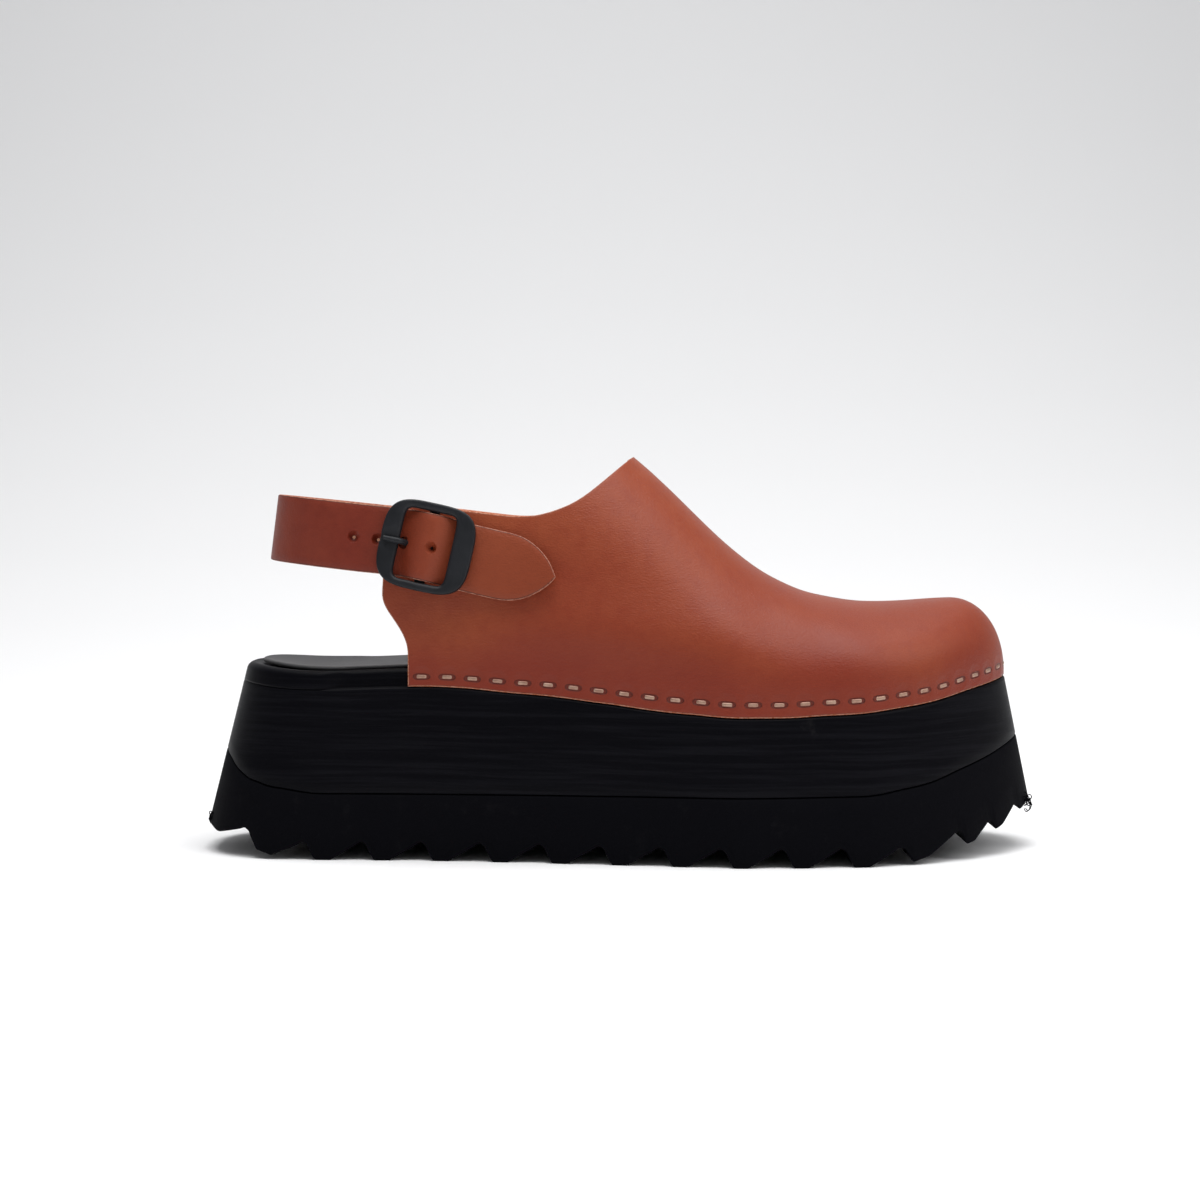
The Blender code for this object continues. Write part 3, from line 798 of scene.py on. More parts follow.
strapSizes = {
    "width": 0.022,
    "thickness": 0.0022,
    "edge": 0.0005,
    "rest": 0.0005,
    "tipRise": 0.0010,
    "span": (-0.0780, -0.0440),
    "tipX": -0.0213,
    "bendX": -0.075,
    "backX": -0.1150,
    "innerEndX": -0.044,
    "power": 2.3,
    "lean": 0.13,
    "tipLength": 0.018,
    "holeDiameter": 0.0040,
    "tipPower": 2.2,
    "tipSpread": 0.8,
    "looseLength": 0.020,        # of the tip that stands a little off the upper
    "holePlaces": (0.0251, 0.0167, 0.0078, -0.0020, -0.0100),
    "pinHole": 2,                # the pin passes through the third hole
    "holeBottom": 0.07,          # of a pressed hole's diameter
    "holeTop": 1.22,
    "hump": 0.0100,
    "humpFlat": 0.0008,
    "humpSlope": 0.0082,
}

strapLine = table(
    "place height",
    (-0.1170, 0.1087),
    (-0.0850, 0.1052),
    (-0.0740, 0.1040),
    (-0.0630, 0.1020),
    (-0.0500, 0.0987),
    (-0.0213, 0.0925),
)

buckle = {
    "x": -0.0632,
    "length": 0.0305,
    "width": 0.0290,
    "thickness": 0.0030,
    "power": 3.6,
    "rearBar": 0.0061,
    "frontBar": 0.0070,
    "rail": 0.00275,
    "soften": 0.0006,
    "barWidth": 0.0034,
    "barDepth": 0.0024,
    "barRise": 0.0009,
    "notchWidth": 0.0038,
    "notchDepth": 0.0011,
    "notchStart": 0.006,         # behind the middle of the frame
    "notchEdge": 0.0005,
    "prongDiameter": 0.0020,
}


def alongOfX(x):
    height = base["ledgeHeight"]
    return (x - heelX(height)) / (toeX(height) - heelX(height))


def sideFace(x, side, height):
    along = alongOfX(x)
    foot = footHeight(along)
    return archY(along, side, (height - foot) / (crestHeight(along) - foot))


def strapHeight(x):
    return read(strapLine, "height", x)


def strapFace(x, side, up, height):
    rear, front = strapSizes["span"]
    if x > front:
        return sideFace(x, side, height)
    faces = [sideFace(end, side, strapHeight(end) + up) for end in (rear, front)]
    return mix(*faces, (x - rear) / (front - rear))


def strapBase(x, side, closing, up):
    reach = strapSizes["width"] / 8
    middle = centreY(alongOfX(strapSizes["bendX"]))
    slope = (strapHeight(x + reach) - strapHeight(x - reach)) / (2 * reach) * closing
    rise = up / math.hypot(1, slope)
    place = x - slope * rise
    height = strapHeight(x) + rise
    y = middle + (strapFace(place, side, up, height) - middle) * closing
    return Vector((place + strapSizes["lean"] * up * (1 - closing), y, height))


def strapRoute():
    sizes = strapSizes
    front = buckle["x"] + sizes["hump"]
    route = [(mix(sizes["tipX"], front, share), outer, 1.0) for share in sharesOf(44)]
    route += [(front - 2 * sizes["hump"] * step / 44, outer, 1.0) for step in range(1, 45)]
    route += [(mix(front - 2 * sizes["hump"], sizes["bendX"], step / 4), outer, 1.0) for step in range(1, 5)]
    for step in range(1, 120):
        angle = math.pi * step / 120
        reach = abs(math.sin(angle)) ** (2 / sizes["power"])
        closing = abs(math.cos(angle)) ** (2 / sizes["power"])
        route.append((mix(sizes["bendX"], sizes["backX"], reach), outer if step <= 60 else inner, closing))
    route += [(mix(sizes["bendX"], sizes["innerEndX"], step / 24), inner, 1.0) for step in range(25)]
    return route


def strapHalf(x, side):
    if side == inner:
        return strapSizes["width"] / 2
    share = min((strapSizes["tipX"] - x) / strapSizes["tipLength"], 1.0)
    swell = max(1 - (1 - share) ** strapSizes["tipPower"], 0.008)
    return strapSizes["width"] / 2 * swell ** strapSizes["tipSpread"]


def strapLift(x, side):
    sizes = strapSizes
    if side == inner:
        return sizes["rest"]
    away = abs(x - buckle["x"])
    crown = buckle["barRise"] + buckle["barDepth"] + 3 * base["gap"]
    loose = smooth((x - sizes["tipX"]) / sizes["looseLength"] + 1) * sizes["tipRise"]
    return mix(crown, sizes["rest"], smooth((away - sizes["humpFlat"]) / sizes["humpSlope"])) + loose


def strapSection(half, lift):    # share across, rise, and how raw the leather is there
    edge = strapSizes["edge"]
    side = min(edge / (2 * half), 0.3)
    top = lift + strapSizes["thickness"]
    flat = [mix(side, 1 - side, step / 9) for step in range(10)]
    section = [(share, lift, 0.0, 1.0) for share in flat]
    section += [(1 - 0.3 * side, lift + 0.3 * edge, 1.0, 1.0), (1.0, lift + edge, 1.0, 0.0),
                (1.0, top - edge, 1.0, 0.0), (1 - 0.3 * side, top - 0.3 * edge, 0.6, 0.0)]
    section += [(share, top, 0.0, 0.0) for share in reversed(flat)]
    section += [(0.3 * side, top - 0.3 * edge, 0.6, 0.0), (0.0, top - edge, 1.0, 0.0),
                (0.0, lift + edge, 1.0, 0.0), (0.3 * side, lift + 0.3 * edge, 1.0, 1.0)]
    return section


def makeStrap(finish):
    route = strapRoute()
    middles = [strapBase(x, side, closing, 0) for x, side, closing in route]
    mesh = bmesh.new()
    cut = mesh.verts.layers.float.new("cutEdge")
    lined = mesh.verts.layers.float.new("fleshSide")
    rows = []
    for place, (x, side, closing) in enumerate(route):
        forward = (middles[min(place + 1, len(route) - 1)] - middles[max(place - 1, 0)]).normalized()
        half = strapHalf(x, side)
        low = strapBase(x, side, closing, -half)
        high = strapBase(x, side, closing, half)
        out = forward.cross((low - high).normalized()).normalized()
        row = []
        for share, rise, raw, flesh in strapSection(half, strapLift(x, side)):
            vert = mesh.verts.new(strapBase(x, side, closing, mix(-half, half, share)) + out * rise)
            vert[cut] = raw
            vert[lined] = flesh
            row.append(vert)
        rows.append(row)
    for before, after in zip(rows, rows[1:]):
        bridge(mesh, before, after, closed=True)
    mesh.faces.new(rows[0])
    mesh.faces.new(rows[-1])
    strap = meshObject("leatherStrap", mesh)
    cutters = [makePunch(number, behind) for number, behind in enumerate(strapSizes["holePlaces"])]
    for cutter in cutters:
        hole = strap.modifiers.new(cutter.name, "BOOLEAN")
        hole.operation = "DIFFERENCE"
        hole.solver = "EXACT"
        hole.object = cutter
    bakeModifiers(strap)
    for cutter in cutters:
        bpy.data.objects.remove(cutter)
    strap.data.shade_smooth()
    strap.data.set_sharp_from_angle(angle=math.radians(50))
    addPiece(strap, "heel_strap", finish)


def makePunch(number, behind):
    mesh = bmesh.new()
    raw = mesh.verts.layers.float.new("cutEdge")
    radius = strapSizes["holeDiameter"] / 2
    thick = strapSizes["thickness"]
    narrow, wide = strapSizes["holeBottom"], strapSizes["holeTop"]
    if number == strapSizes["pinHole"]:
        narrow = wide = 1.0
    bmesh.ops.create_cone(mesh, cap_ends=True, segments=32, radius1=radius * narrow,
                          radius2=radius * wide, depth=1.5 * thick)
    # 0.3 marks the hole walls, which the leather finish fills with painted shade
    for vert in mesh.verts:
        vert[raw] = 0.3
    punch = meshObject("strapPunch%d" % number, mesh)
    axes = buckleAxes()
    place = buckle["x"] - behind * axes.col[0].x
    lift = strapLift(place, outer) + thick / 2
    bend = (strapSizes["bendX"] - place) / (strapSizes["bendX"] - strapSizes["backX"])
    closing = superround(max(bend, 0), strapSizes["power"])
    axes.translation = strapBase(place, outer, closing, 0) + axes.col[2].xyz * lift
    punch.data.transform(axes)
    return punch


# The buckle and its pin

def buckleAxes():                # +X to the toe along the strap, +Y up, +Z out
    x = buckle["x"]
    half = strapSizes["width"] / 2
    forward = (strapBase(x + 0.010, outer, 1, 0) - strapBase(x - 0.010, outer, 1, 0)).normalized()
    upward = (strapBase(x, outer, 1, half) - strapBase(x, outer, 1, -half)).normalized()
    out = forward.cross(upward).normalized()
    axes = Matrix((forward, out.cross(forward).normalized(), out)).transposed().to_4x4()
    axes.translation = strapBase(x, outer, 1, 0)
    return axes


def superellipse(halfLength, halfWidth, power, shift, angle):
    x = math.copysign(abs(math.cos(angle)) ** (2 / power), math.cos(angle))
    y = math.copysign(abs(math.sin(angle)) ** (2 / power), math.sin(angle))
    return Vector((shift + halfLength * x, halfWidth * y, 0))


def makeBuckle(finish):
    count = 176
    level = strapSizes["rest"] + strapSizes["thickness"] + 1.5 * base["gap"]
    top = level + buckle["thickness"]
    soft = buckle["soften"]
    opening = buckle["length"] - buckle["rearBar"] - buckle["frontBar"]
    shift = (buckle["rearBar"] - buckle["frontBar"]) / 2
    mesh = bmesh.new()
    rows = []
    for step in range(count):
        angle = 2 * math.pi * step / count
        far = superellipse(buckle["length"] / 2, buckle["width"] / 2, buckle["power"], 0, angle)
        near = superellipse(opening / 2, buckle["width"] / 2 - buckle["rail"], 2.5 * buckle["power"],
                            shift, angle)
        reach = (far - near).length
        line = []
        for share, height in ((1, level + soft), (1, top - soft), (1 - 0.3 * soft / reach, top - 0.3 * soft),
                              (1 - soft / reach, top), (2 * soft / reach, top - 0.1 * soft),
                              (0.8 * soft / reach, top - 0.5 * soft), (0.0, top - 1.6 * soft),
                              (0.0, level + soft), (soft / reach, level), (1 - soft / reach, level)):
            place = near.lerp(far, share)
            edge = buckle["notchEdge"]
            across = smooth((buckle["notchWidth"] / 2 + 0.6 * edge - abs(place.y)) / edge)
            behind = smooth((-place.x - buckle["notchStart"]) / (2 * edge))
            dip = buckle["notchDepth"] * across * behind if height > level + soft else 0.0
            line.append(mesh.verts.new((place.x, place.y, height - dip)))
        rows.append(line)
    for before, after in zip(rows, rows[1:] + rows[:1]):
        bridge(mesh, before, after, closed=True)
    bar = bmesh.ops.create_cube(mesh, size=1)["verts"]
    size = (buckle["barWidth"], buckle["width"] - buckle["rail"], buckle["barDepth"])
    for vert in bar:
        vert.co = Vector([part * length for part, length in zip(vert.co, size)])
        vert.co.z += buckle["barRise"] + buckle["barDepth"] / 2
    bmesh.ops.bevel(mesh, geom=[edge for edge in mesh.edges if edge.verts[0] in bar and edge.verts[1] in bar],
                    offset=0.0006, segments=2, affect="EDGES", profile=0.5)
    frameRing = meshObject("buckleFrame", mesh)
    frameRing.data.transform(buckleAxes())
    frameRing.data.set_sharp_from_angle(angle=math.radians(45))
    addPiece(frameRing, "buckle_frame", finish)


def makeProng(finish):
    radius = buckle["prongDiameter"] / 2
    level = strapSizes["rest"] + strapSizes["thickness"] + 1.5 * base["gap"]
    seat = level + buckle["thickness"] - buckle["notchDepth"] + base["gap"] + radius
    hole = strapSizes["holePlaces"][strapSizes["pinHole"]]
    edge = buckle["length"] / 2 - buckle["rearBar"]
    rear = buckle["length"] / 2 - 0.2 * buckle["rearBar"]
    route = [
        (buckle["barWidth"] / 2 + base["gap"], base["gap"] + radius),
        (hole - 0.0028, 1.5 * base["gap"] + radius),
        (hole - 0.0008, 0.50 * seat),
        (hole + 0.0005, 0.95 * seat),
        (edge + 0.0004, seat + base["gap"]),
        (rear, seat),
    ]
    curve = newCurve("bucklePin", radius, 5)
    spline = curve.splines.new("NURBS")
    spline.points.add(len(route) - 1)
    for place, (point, (behind, rise)) in enumerate(zip(spline.points, route)):
        point.co = (-behind, 0, rise, 1)
        point.radius = 0.75 if place == len(route) - 1 else 1.0
    spline.order_u = 3
    spline.use_endpoint_u = True
    spline.resolution_u = 8
    mesh = bmesh.new()
    mesh.from_mesh(curveMesh(curve))
    prong = meshObject("bucklePin", mesh)
    prong.data.transform(buckleAxes())
    prong.data.set_sharp_from_angle(angle=math.radians(45))
    addPiece(prong, "buckle_prong", finish)


# Finishes

class Value:                     # a shader socket that takes part in sums
    def __init__(self, shade, socket):
        self.shade = shade
        self.socket = socket

    def sum(self, operation, first, second):
        return self.shade.add("ShaderNodeMath", {"operation": operation}, {0: first, 1: second})

    def __add__(self, other):
        return self.sum("ADD", self, other)

    def __radd__(self, other):
        return self.sum("ADD", other, self)

    def __sub__(self, other):
        return self.sum("SUBTRACT", self, other)

    def __rsub__(self, other):
        return self.sum("SUBTRACT", other, self)

    def __mul__(self, other):
        return self.sum("MULTIPLY", self, other)

    def __rmul__(self, other):
        return self.sum("MULTIPLY", other, self)

    def __truediv__(self, other):
        return self.sum("DIVIDE", self, other)

    def __pow__(self, other):
        return self.sum("POWER", self, other)


class Finish:                    # one material and the nodes that it is made of
    def __init__(self, name):
        self.made = bpy.data.materials.new(name)
        self.made.use_nodes = True
        self.tree = self.made.node_tree
        self.shader = self.tree.nodes["Principled BSDF"]
        self.place = self.add("ShaderNodeTexCoord", {}, {}, "Object")

    def add(self, kind, settings, sockets, output=0):
        node = self.tree.nodes.new(kind)
        for name, setting in settings.items():
            setattr(node, name, setting)
        for name, value in sockets.items():
            self.feed(node.inputs[name], value)
        return Value(self, node.outputs[output])

    def feed(self, socket, value):
        if isinstance(value, Value):
            self.tree.links.new(value.socket, socket)
        elif isinstance(value, tuple) and socket.type == "RGBA":
            socket.default_value = (*value, 1)
        else:
            socket.default_value = value

    def set(self, **values):
        names = {"colour": "Base Color", "roughness": "Roughness", "metallic": "Metallic", "normal": "Normal",
                 "coat": "Coat Weight", "coatRoughness": "Coat Roughness", "specular": "Specular IOR Level"}
        for name, value in values.items():
            self.feed(self.shader.inputs[names[name]], value)

    def stretched(self, scale, turn=(0, 0, 0)):
        return self.add("ShaderNodeMapping", {}, {"Vector": self.place, "Scale": scale, "Rotation": turn})

    def noise(self, scale, detail=2.0, roughness=0.5, place=None):
        return self.add("ShaderNodeTexNoise", {}, {"Vector": place or self.place, "Scale": scale,
                                                   "Detail": detail, "Roughness": roughness})

    def cells(self, scale, place=None):
        return self.add("ShaderNodeTexVoronoi", {"feature": "SMOOTH_F1"},
                        {"Vector": place or self.place, "Scale": scale}, "Distance")

    def step(self, value, low, high):        # 0 at low, 1 at high
        return self.add("ShaderNodeMapRange", {"interpolation_type": "SMOOTHSTEP"},
                        {0: value, 1: low, 2: high})

    def blend(self, share, first, second):
        return self.add("ShaderNodeMix", {"data_type": "RGBA"}, {0: share, 6: first, 7: second}, 2)

    def attribute(self, name):
        return self.add("ShaderNodeAttribute", {"attribute_name": name}, {}, "Fac")

    def part(self, vector, axis):
        return self.add("ShaderNodeSeparateXYZ", {}, {0: vector}, axis)

    def bumped(self, height, distance, strength=1.0, under=None):
        sockets = {"Height": height, "Distance": distance, "Strength": strength}
        if under:
            sockets["Normal"] = under
        return self.add("ShaderNodeBump", {}, sockets)


leather = {
    "grain": 1750,               # cells in a metre
    "grainDepth": 0.00009,
    "upperLight": (0.228, 0.037, 0.0125),
    "upperDeep": (0.172, 0.0165, 0.0060),
    "upperWarm": (0.310, 0.070, 0.0210),
    "strapLight": (0.158, 0.016, 0.0065),
    "strapDeep": (0.100, 0.0085, 0.0042),
    "strapWarm": (0.230, 0.048, 0.022),
    "cutEdge": (0.50, 0.235, 0.160),
    "flesh": (0.46, 0.235, 0.150),
    "slotLength": 0.0027,        # half of a staple's slot, and half its width
    "slotWidth": 0.00098,
    "dimpleLength": 0.0041,
    "dimpleWidth": 0.0040,
    "slotShadeColour": (0.045, 0.008, 0.006),
    "edgeLineAndHoleShade": (0.040, 0.009, 0.006),
    "fleshDeep": (0.30, 0.13, 0.08),
    "shadeAndBurnishTop": 0.078,             # painted shade with some burnish: the upper darkens between these heights
    "shadeAndBurnishFoot": 0.056,
    "rearStart": -0.090,         # the strap is darker behind these places
    "rearEnd": -0.050,
}


def leatherFinish(name, kind, slots):
    finish = Finish(name)
    cloud = finish.noise(17, 2.0, 0.5)
    mottle = finish.noise(210, 4.0, 0.62)
    speck = finish.noise(1500, 2.0, 0.6)
    height = finish.part(finish.place, "Z")
    plain, warm, deep = (leather[kind + tone] for tone in ("Light", "Warm", "Deep"))
    light = finish.blend(finish.step(cloud, 0.35, 0.75) * 0.55, plain, warm)
    if kind == "upper":
        # painted shade and burnish together: the upper is darker towards its lower edge
        low = finish.step(height + (cloud - 0.5) * 0.03, leather["shadeAndBurnishTop"], leather["shadeAndBurnishFoot"])
    else:
        low = finish.step(cloud, 0.5, 0.2)
    colour = finish.blend(low * 0.75, light, deep)
    colour = finish.blend(finish.step(mottle, 0.62, 0.30) * 0.24, colour, deep)
    colour = finish.blend(finish.step(speck, 0.62, 0.80) * 0.20, colour, warm)
    if kind == "strap":
        ahead = finish.step(finish.part(finish.place, "X"), leather["rearStart"], leather["rearEnd"])
        colour = finish.blend(ahead * 0.42, colour, leather["upperWarm"])
    grain = finish.cells(leather["grain"], finish.stretched((0.7, 1.0, 1.25)))
    fine = finish.noise(5200, 3.0, 0.7)
    wrinkle = finish.noise(330, 3.0, 0.6, finish.stretched((0.35, 0.7, 1.6), (0, 0.25, 0)))
    fold = finish.step(wrinkle, 0.42, 0.58)
    normal = finish.bumped(fold, 0.00012, 0.10)
    normal = finish.bumped(grain * 0.9 + fine * 0.45, leather["grainDepth"], 1.0, normal)
    rough = 0.36 + mottle * 0.12 + grain * 0.12
    if slots:
        run = finish.add("ShaderNodeUVMap", {"uv_map": "edgeRun"}, {})
        along = finish.add("ShaderNodeMath", {"operation": "PINGPONG"}, {0: finish.part(run, "X"), 1: 0.5})
        along = along * staples["pitch"]
        up = finish.part(run, "Y")
        slot = (along / leather["slotLength"]) ** 4 + (up / leather["slotWidth"]) ** 2
        pressed = finish.step(slot, 1.25, 0.75)
        shade = finish.step(slot, 1.7, 1.0)
        dimple = (along / leather["dimpleLength"]) ** 2 + (up / leather["dimpleWidth"]) ** 2
        dimple = finish.step(dimple, 1.0, 0.0)
        normal = finish.bumped(dimple * -0.30 + pressed * -0.60, 0.0008, 1.0, normal)
        # painted shade in and around the staples' slots
        colour = finish.blend(shade * 0.52, colour, leather["slotShadeColour"])
    cut = finish.attribute("cutEdge")
    # a darker line along the cut edges, and painted shade inside the punched holes
    colour = finish.blend(finish.step(cut, 0.04, 0.22) * 0.85, colour, leather["edgeLineAndHoleShade"])
    flesh = finish.attribute("fleshSide")
    fibre = finish.noise(900, 4.0, 0.7, finish.stretched((1, 1, 3)))
    edgeColour = finish.blend(finish.step(fibre, 0.35, 0.65), leather["cutEdge"], warm)
    fleshColour = finish.blend(finish.step(fibre, 0.30, 0.70) * 0.5, leather["flesh"], leather["fleshDeep"])
    colour = finish.blend(finish.step(cut, 0.35, 0.75), finish.blend(flesh, colour, fleshColour), edgeColour)
    bare = finish.add("ShaderNodeMath", {"operation": "MAXIMUM"}, {0: cut, 1: flesh})
    finish.set(colour=colour, roughness=rough + (0.93 - rough) * bare, normal=normal,
               coat=(1 - bare) * 0.045, coatRoughness=0.32, specular=0.25)
    return finish.made


def woodFinish():
    finish = Finish("paintedWood")
    ripple = finish.noise(9, 2.0, 0.5)
    bent = finish.add("ShaderNodeVectorMath", {"operation": "MULTIPLY_ADD"},
                      {0: ripple, 1: (0, 0, 0.006), 2: finish.place})
    long = finish.add("ShaderNodeMapping", {}, {"Vector": bent, "Scale": (18, 18, 620)})
    grain = finish.noise(1.0, 4.0, 0.62, long)
    short = finish.add("ShaderNodeMapping", {}, {"Vector": bent, "Scale": (90, 90, 2600)})
    pores = finish.noise(1.0, 2.0, 0.5, short)
    lumps = finish.noise(140, 2.0)
    worn = finish.step(finish.noise(60, 5.0, 0.7), 0.66, 0.80)
    colour = finish.blend(finish.step(grain, 0.40, 0.68), (0.0014, 0.0014, 0.0026), (0.0042, 0.0042, 0.0060))
    colour = finish.blend(worn * 0.35, colour, (0.020, 0.019, 0.020))
    normal = finish.bumped(lumps, 0.0003, 0.25)
    normal = finish.bumped(grain * 0.8 + pores * 0.3, 0.00022, 0.65, normal)
    finish.set(colour=colour, roughness=0.36 + grain * 0.16 + worn * 0.1, normal=normal, specular=0.05)
    return finish.made


def rubberFinish():
    finish = Finish("soleRubber")
    speck = finish.noise(1100, 3.0, 0.65)
    dust = finish.step(finish.noise(85, 5.0, 0.7), 0.58, 0.82)
    colour = finish.blend(dust * 0.55, (0.0020, 0.0020, 0.0032), (0.0085, 0.0082, 0.0095))
    normal = finish.bumped(speck, 0.00010, 0.6)
    finish.set(colour=colour, roughness=0.66 + speck * 0.16, normal=normal, specular=0.04)
    return finish.made


def insoleFinish():
    finish = Finish("insoleCover")
    weave = finish.cells(1300)
    crease = finish.noise(75, 4.0, 0.62, finish.stretched((1.0, 0.35, 1.0)))
    rub = finish.noise(30, 3.0, 0.5)
    colour = finish.blend(finish.step(rub, 0.35, 0.65), (0.030, 0.030, 0.033), (0.052, 0.051, 0.053))
    normal = finish.bumped(finish.step(crease, 0.46, 0.54), 0.00022, 0.45)
    normal = finish.bumped(weave, 0.00006, 0.7, normal)
    finish.set(colour=colour, roughness=0.50 + rub * 0.16, normal=normal, specular=0.45)
    return finish.made


def enamelFinish():
    finish = Finish("blackEnamel")
    grit = finish.noise(2600, 2.0, 0.6)
    tone = finish.noise(120, 2.0)
    colour = finish.blend(finish.step(tone, 0.3, 0.7), (0.006, 0.007, 0.009), (0.012, 0.013, 0.016))
    normal = finish.bumped(grit, 0.00003, 0.6)
    finish.set(colour=colour, roughness=0.40 + grit * 0.12, normal=normal, specular=0.24)
    return finish.made


def stapleFinish():
    finish = Finish("copperedSteel")
    tone = finish.noise(380, 3.0, 0.6)
    scratch = finish.noise(900, 2.0, 0.6, finish.stretched((0.2, 1, 3)))
    colour = finish.blend(finish.step(tone, 0.35, 0.7), (0.44, 0.29, 0.22), (0.32, 0.18, 0.13))
    normal = finish.bumped(scratch, 0.00003, 0.5)
    finish.set(colour=colour, metallic=0.85, roughness=0.42 + tone * 0.16, normal=normal)
    return finish.made


def threadFinish():
    finish = Finish("strapThread")
    twist = finish.noise(2400, 2.0, 0.6)
    colour = finish.blend(twist, (0.085, 0.022, 0.014), (0.165, 0.045, 0.028))
    finish.set(colour=colour, roughness=0.75, normal=finish.bumped(twist, 0.00008, 0.8))
    return finish.made


# Torn threads of rubber at the ends of the sole

whiskers = {
    "count": 10,                 # at each end
    "points": 11,
    "radius": 0.00023,
    "curl": 0.0027,
    "toeAlong": (0.998, 0.986),
    "heelAlong": (0.002, 0.008),
    "toeHeight": (0.0150, 0.0190),
    "heelHeight": (0.0105, 0.0130),
    "heelSize": 0.6,             # of those at the toe
}


def makeWhiskers(finish):
    curve = newCurve("rubberWhiskers", whiskers["radius"], 1)
    for end, ahead, size, spread in (("toe", 1, 1.0, 1.7), ("heel", -1, whiskers["heelSize"], 2.3)):
        for number in range(whiskers["count"]):
            share = number / whiskers["count"]
            along = mix(*whiskers[end + "Along"], share)
            height = mix(*whiskers[end + "Height"], share * spread % 1)
            lean = mix(-1.6, 1.3, share * 5.3 % 1)
            spin = mix(1.4, 4.0, share * 3.7 % 1) * (-1) ** number
            stride = whiskers["curl"] * size * (0.5 + share * 7.1 % 1) / 5
            spline = curve.splines.new("POLY")
            spline.points.add(whiskers["points"] - 1)
            place = wallPoint(along, height, outer, 0.0001)
            for step, point in enumerate(spline.points):
                point.co = (*place, 1)
                point.radius = 1.0 - 0.03 * step
                angle = lean + spin * step / 5
                way = Vector((ahead * 0.7 * math.cos(angle), -0.1, math.sin(angle) - 0.25))
                place += way * stride
    data = curveMesh(curve)
    piece = bpy.data.objects.new("rubberWhiskers", data)
    bpy.context.scene.collection.objects.link(piece)
    data.shade_smooth()
    addPiece(piece, None, finish)


# Staples along the lower edge, and the stitches of the strap's inner end

staples = {
    "pitch": 0.0084,
    "first": 0.0046,             # from the leather's rear corner to the first staple
    "height": (0.0033, 0.0043),  # over the leather's edge, at the heel and at the ball
    "crownLength": 0.0043,
    "crownWidth": 0.0013,
    "crownDepth": 0.0006,
    "sunk": 0.0001,
    "heelEnd": 0.25,             # shares of the length between which their height changes
    "ballStart": 0.60,
    "linePoints": 420,
}


def stapleLine():                # points on the upper's outer face along the staples, and the way out of it
    low, high = staples["height"]
    rear, ball = staples["heelEnd"], staples["ballStart"]
    count = staples["linePoints"]
    halves = []
    for side in (outer, inner):
        half = []
        for step in range(count):
            along = mix(upperSizes["rearAlong"], 1.0, math.sin(math.pi / 2 * step / count))
            lift = mix(low, high, smooth((along - rear) / (ball - rear)))
            room = crestHeight(along) - footHeight(along)
            if lift > room:
                break
            rise = lift / room
            point = archPoint(along, side, rise)
            ahead = archPoint(along + 0.0005, side, rise) - archPoint(along - 0.0005, side, rise)
            up = archPoint(along, side, min(rise + 0.02, 1.0)) - archPoint(along, side, rise - 0.02)
            half.append((point, (ahead.cross(up) * -side).normalized()))
        halves.append(half)
    spots = halves[0] + halves[1][::-1]
    runs = [0.0]
    for before, after in zip(spots, spots[1:]):
        runs.append(runs[-1] + (after[0] - before[0]).length)
    return spots, runs


def stapleRuns(total):
    first = staples["first"]
    number = round((total - 2 * first) / staples["pitch"]) + 1
    return [mix(first, total - first, place / (number - 1)) for place in range(number)]


def mapEdge(upper):              # a map with whole numbers across at the staples and metres over their line
    spots, runs = stapleLine()
    seats = stapleRuns(runs[-1])
    pitch = seats[1] - seats[0]
    tree = KDTree(len(spots))
    for place, (point, way) in enumerate(spots):
        tree.insert(point, place)
    tree.balance()
    flesh = upper.data.attributes["fleshSide"].data
    found = []
    for vert in upper.data.vertices:
        point, place, distance = tree.find(vert.co)
        before, after = max(place - 1, 0), min(place + 1, len(spots) - 1)
        step = spots[after][0] - spots[before][0]
        share = (vert.co - spots[before][0]).dot(step) / step.length_squared
        run = mix(runs[before], runs[after], share)
        level = mix(spots[before][0].z, spots[after][0].z, share)
        lined = flesh[vert.index].value > 0.5        # no slots on the flesh side
        over = 0.05 if lined else math.copysign(distance, vert.co.z - level)
        found.append(((run - seats[0]) / pitch, over))
    layer = upper.data.uv_layers.new(name="edgeRun")
    for loop in upper.data.loops:
        layer.data[loop.index].uv = found[loop.vertex_index]


def seatLine(name, seats, rims, ways):      # points with the direction along them and the way out
    mesh = bpy.data.meshes.new(name)
    mesh.from_pydata(seats, [], [])
    for kind, vectors in (("tangent", rims), ("outward", ways)):
        mesh.attributes.new(kind, "FLOAT_VECTOR", "POINT").data.foreach_set(
            "vector", [part for vector in vectors for part in vector.normalized()])
    line = bpy.data.objects.new(name, mesh)
    bpy.context.scene.collection.objects.link(line)
    return line


def makeStaples(finish):
    spots, runs = stapleLine()
    seats, rims, ways = [], [], []
    for run in stapleRuns(runs[-1]):
        cell = max(step for step in range(len(runs) - 1) if runs[step] <= run)
        share = (run - runs[cell]) / (runs[cell + 1] - runs[cell])
        seats.append(spots[cell][0].lerp(spots[cell + 1][0], share))
        rims.append(spots[min(cell + 3, len(runs) - 1)][0] - spots[max(cell - 2, 0)][0])
        ways.append(spots[cell][1])
    line = seatLine("stapleRow", seats, rims, ways)
    sizes = [staples[name] for name in ("crownLength", "crownWidth", "crownDepth", "sunk")]
    repeatAlong(line, *sizes, finish)
    addPiece(line, None, finish)


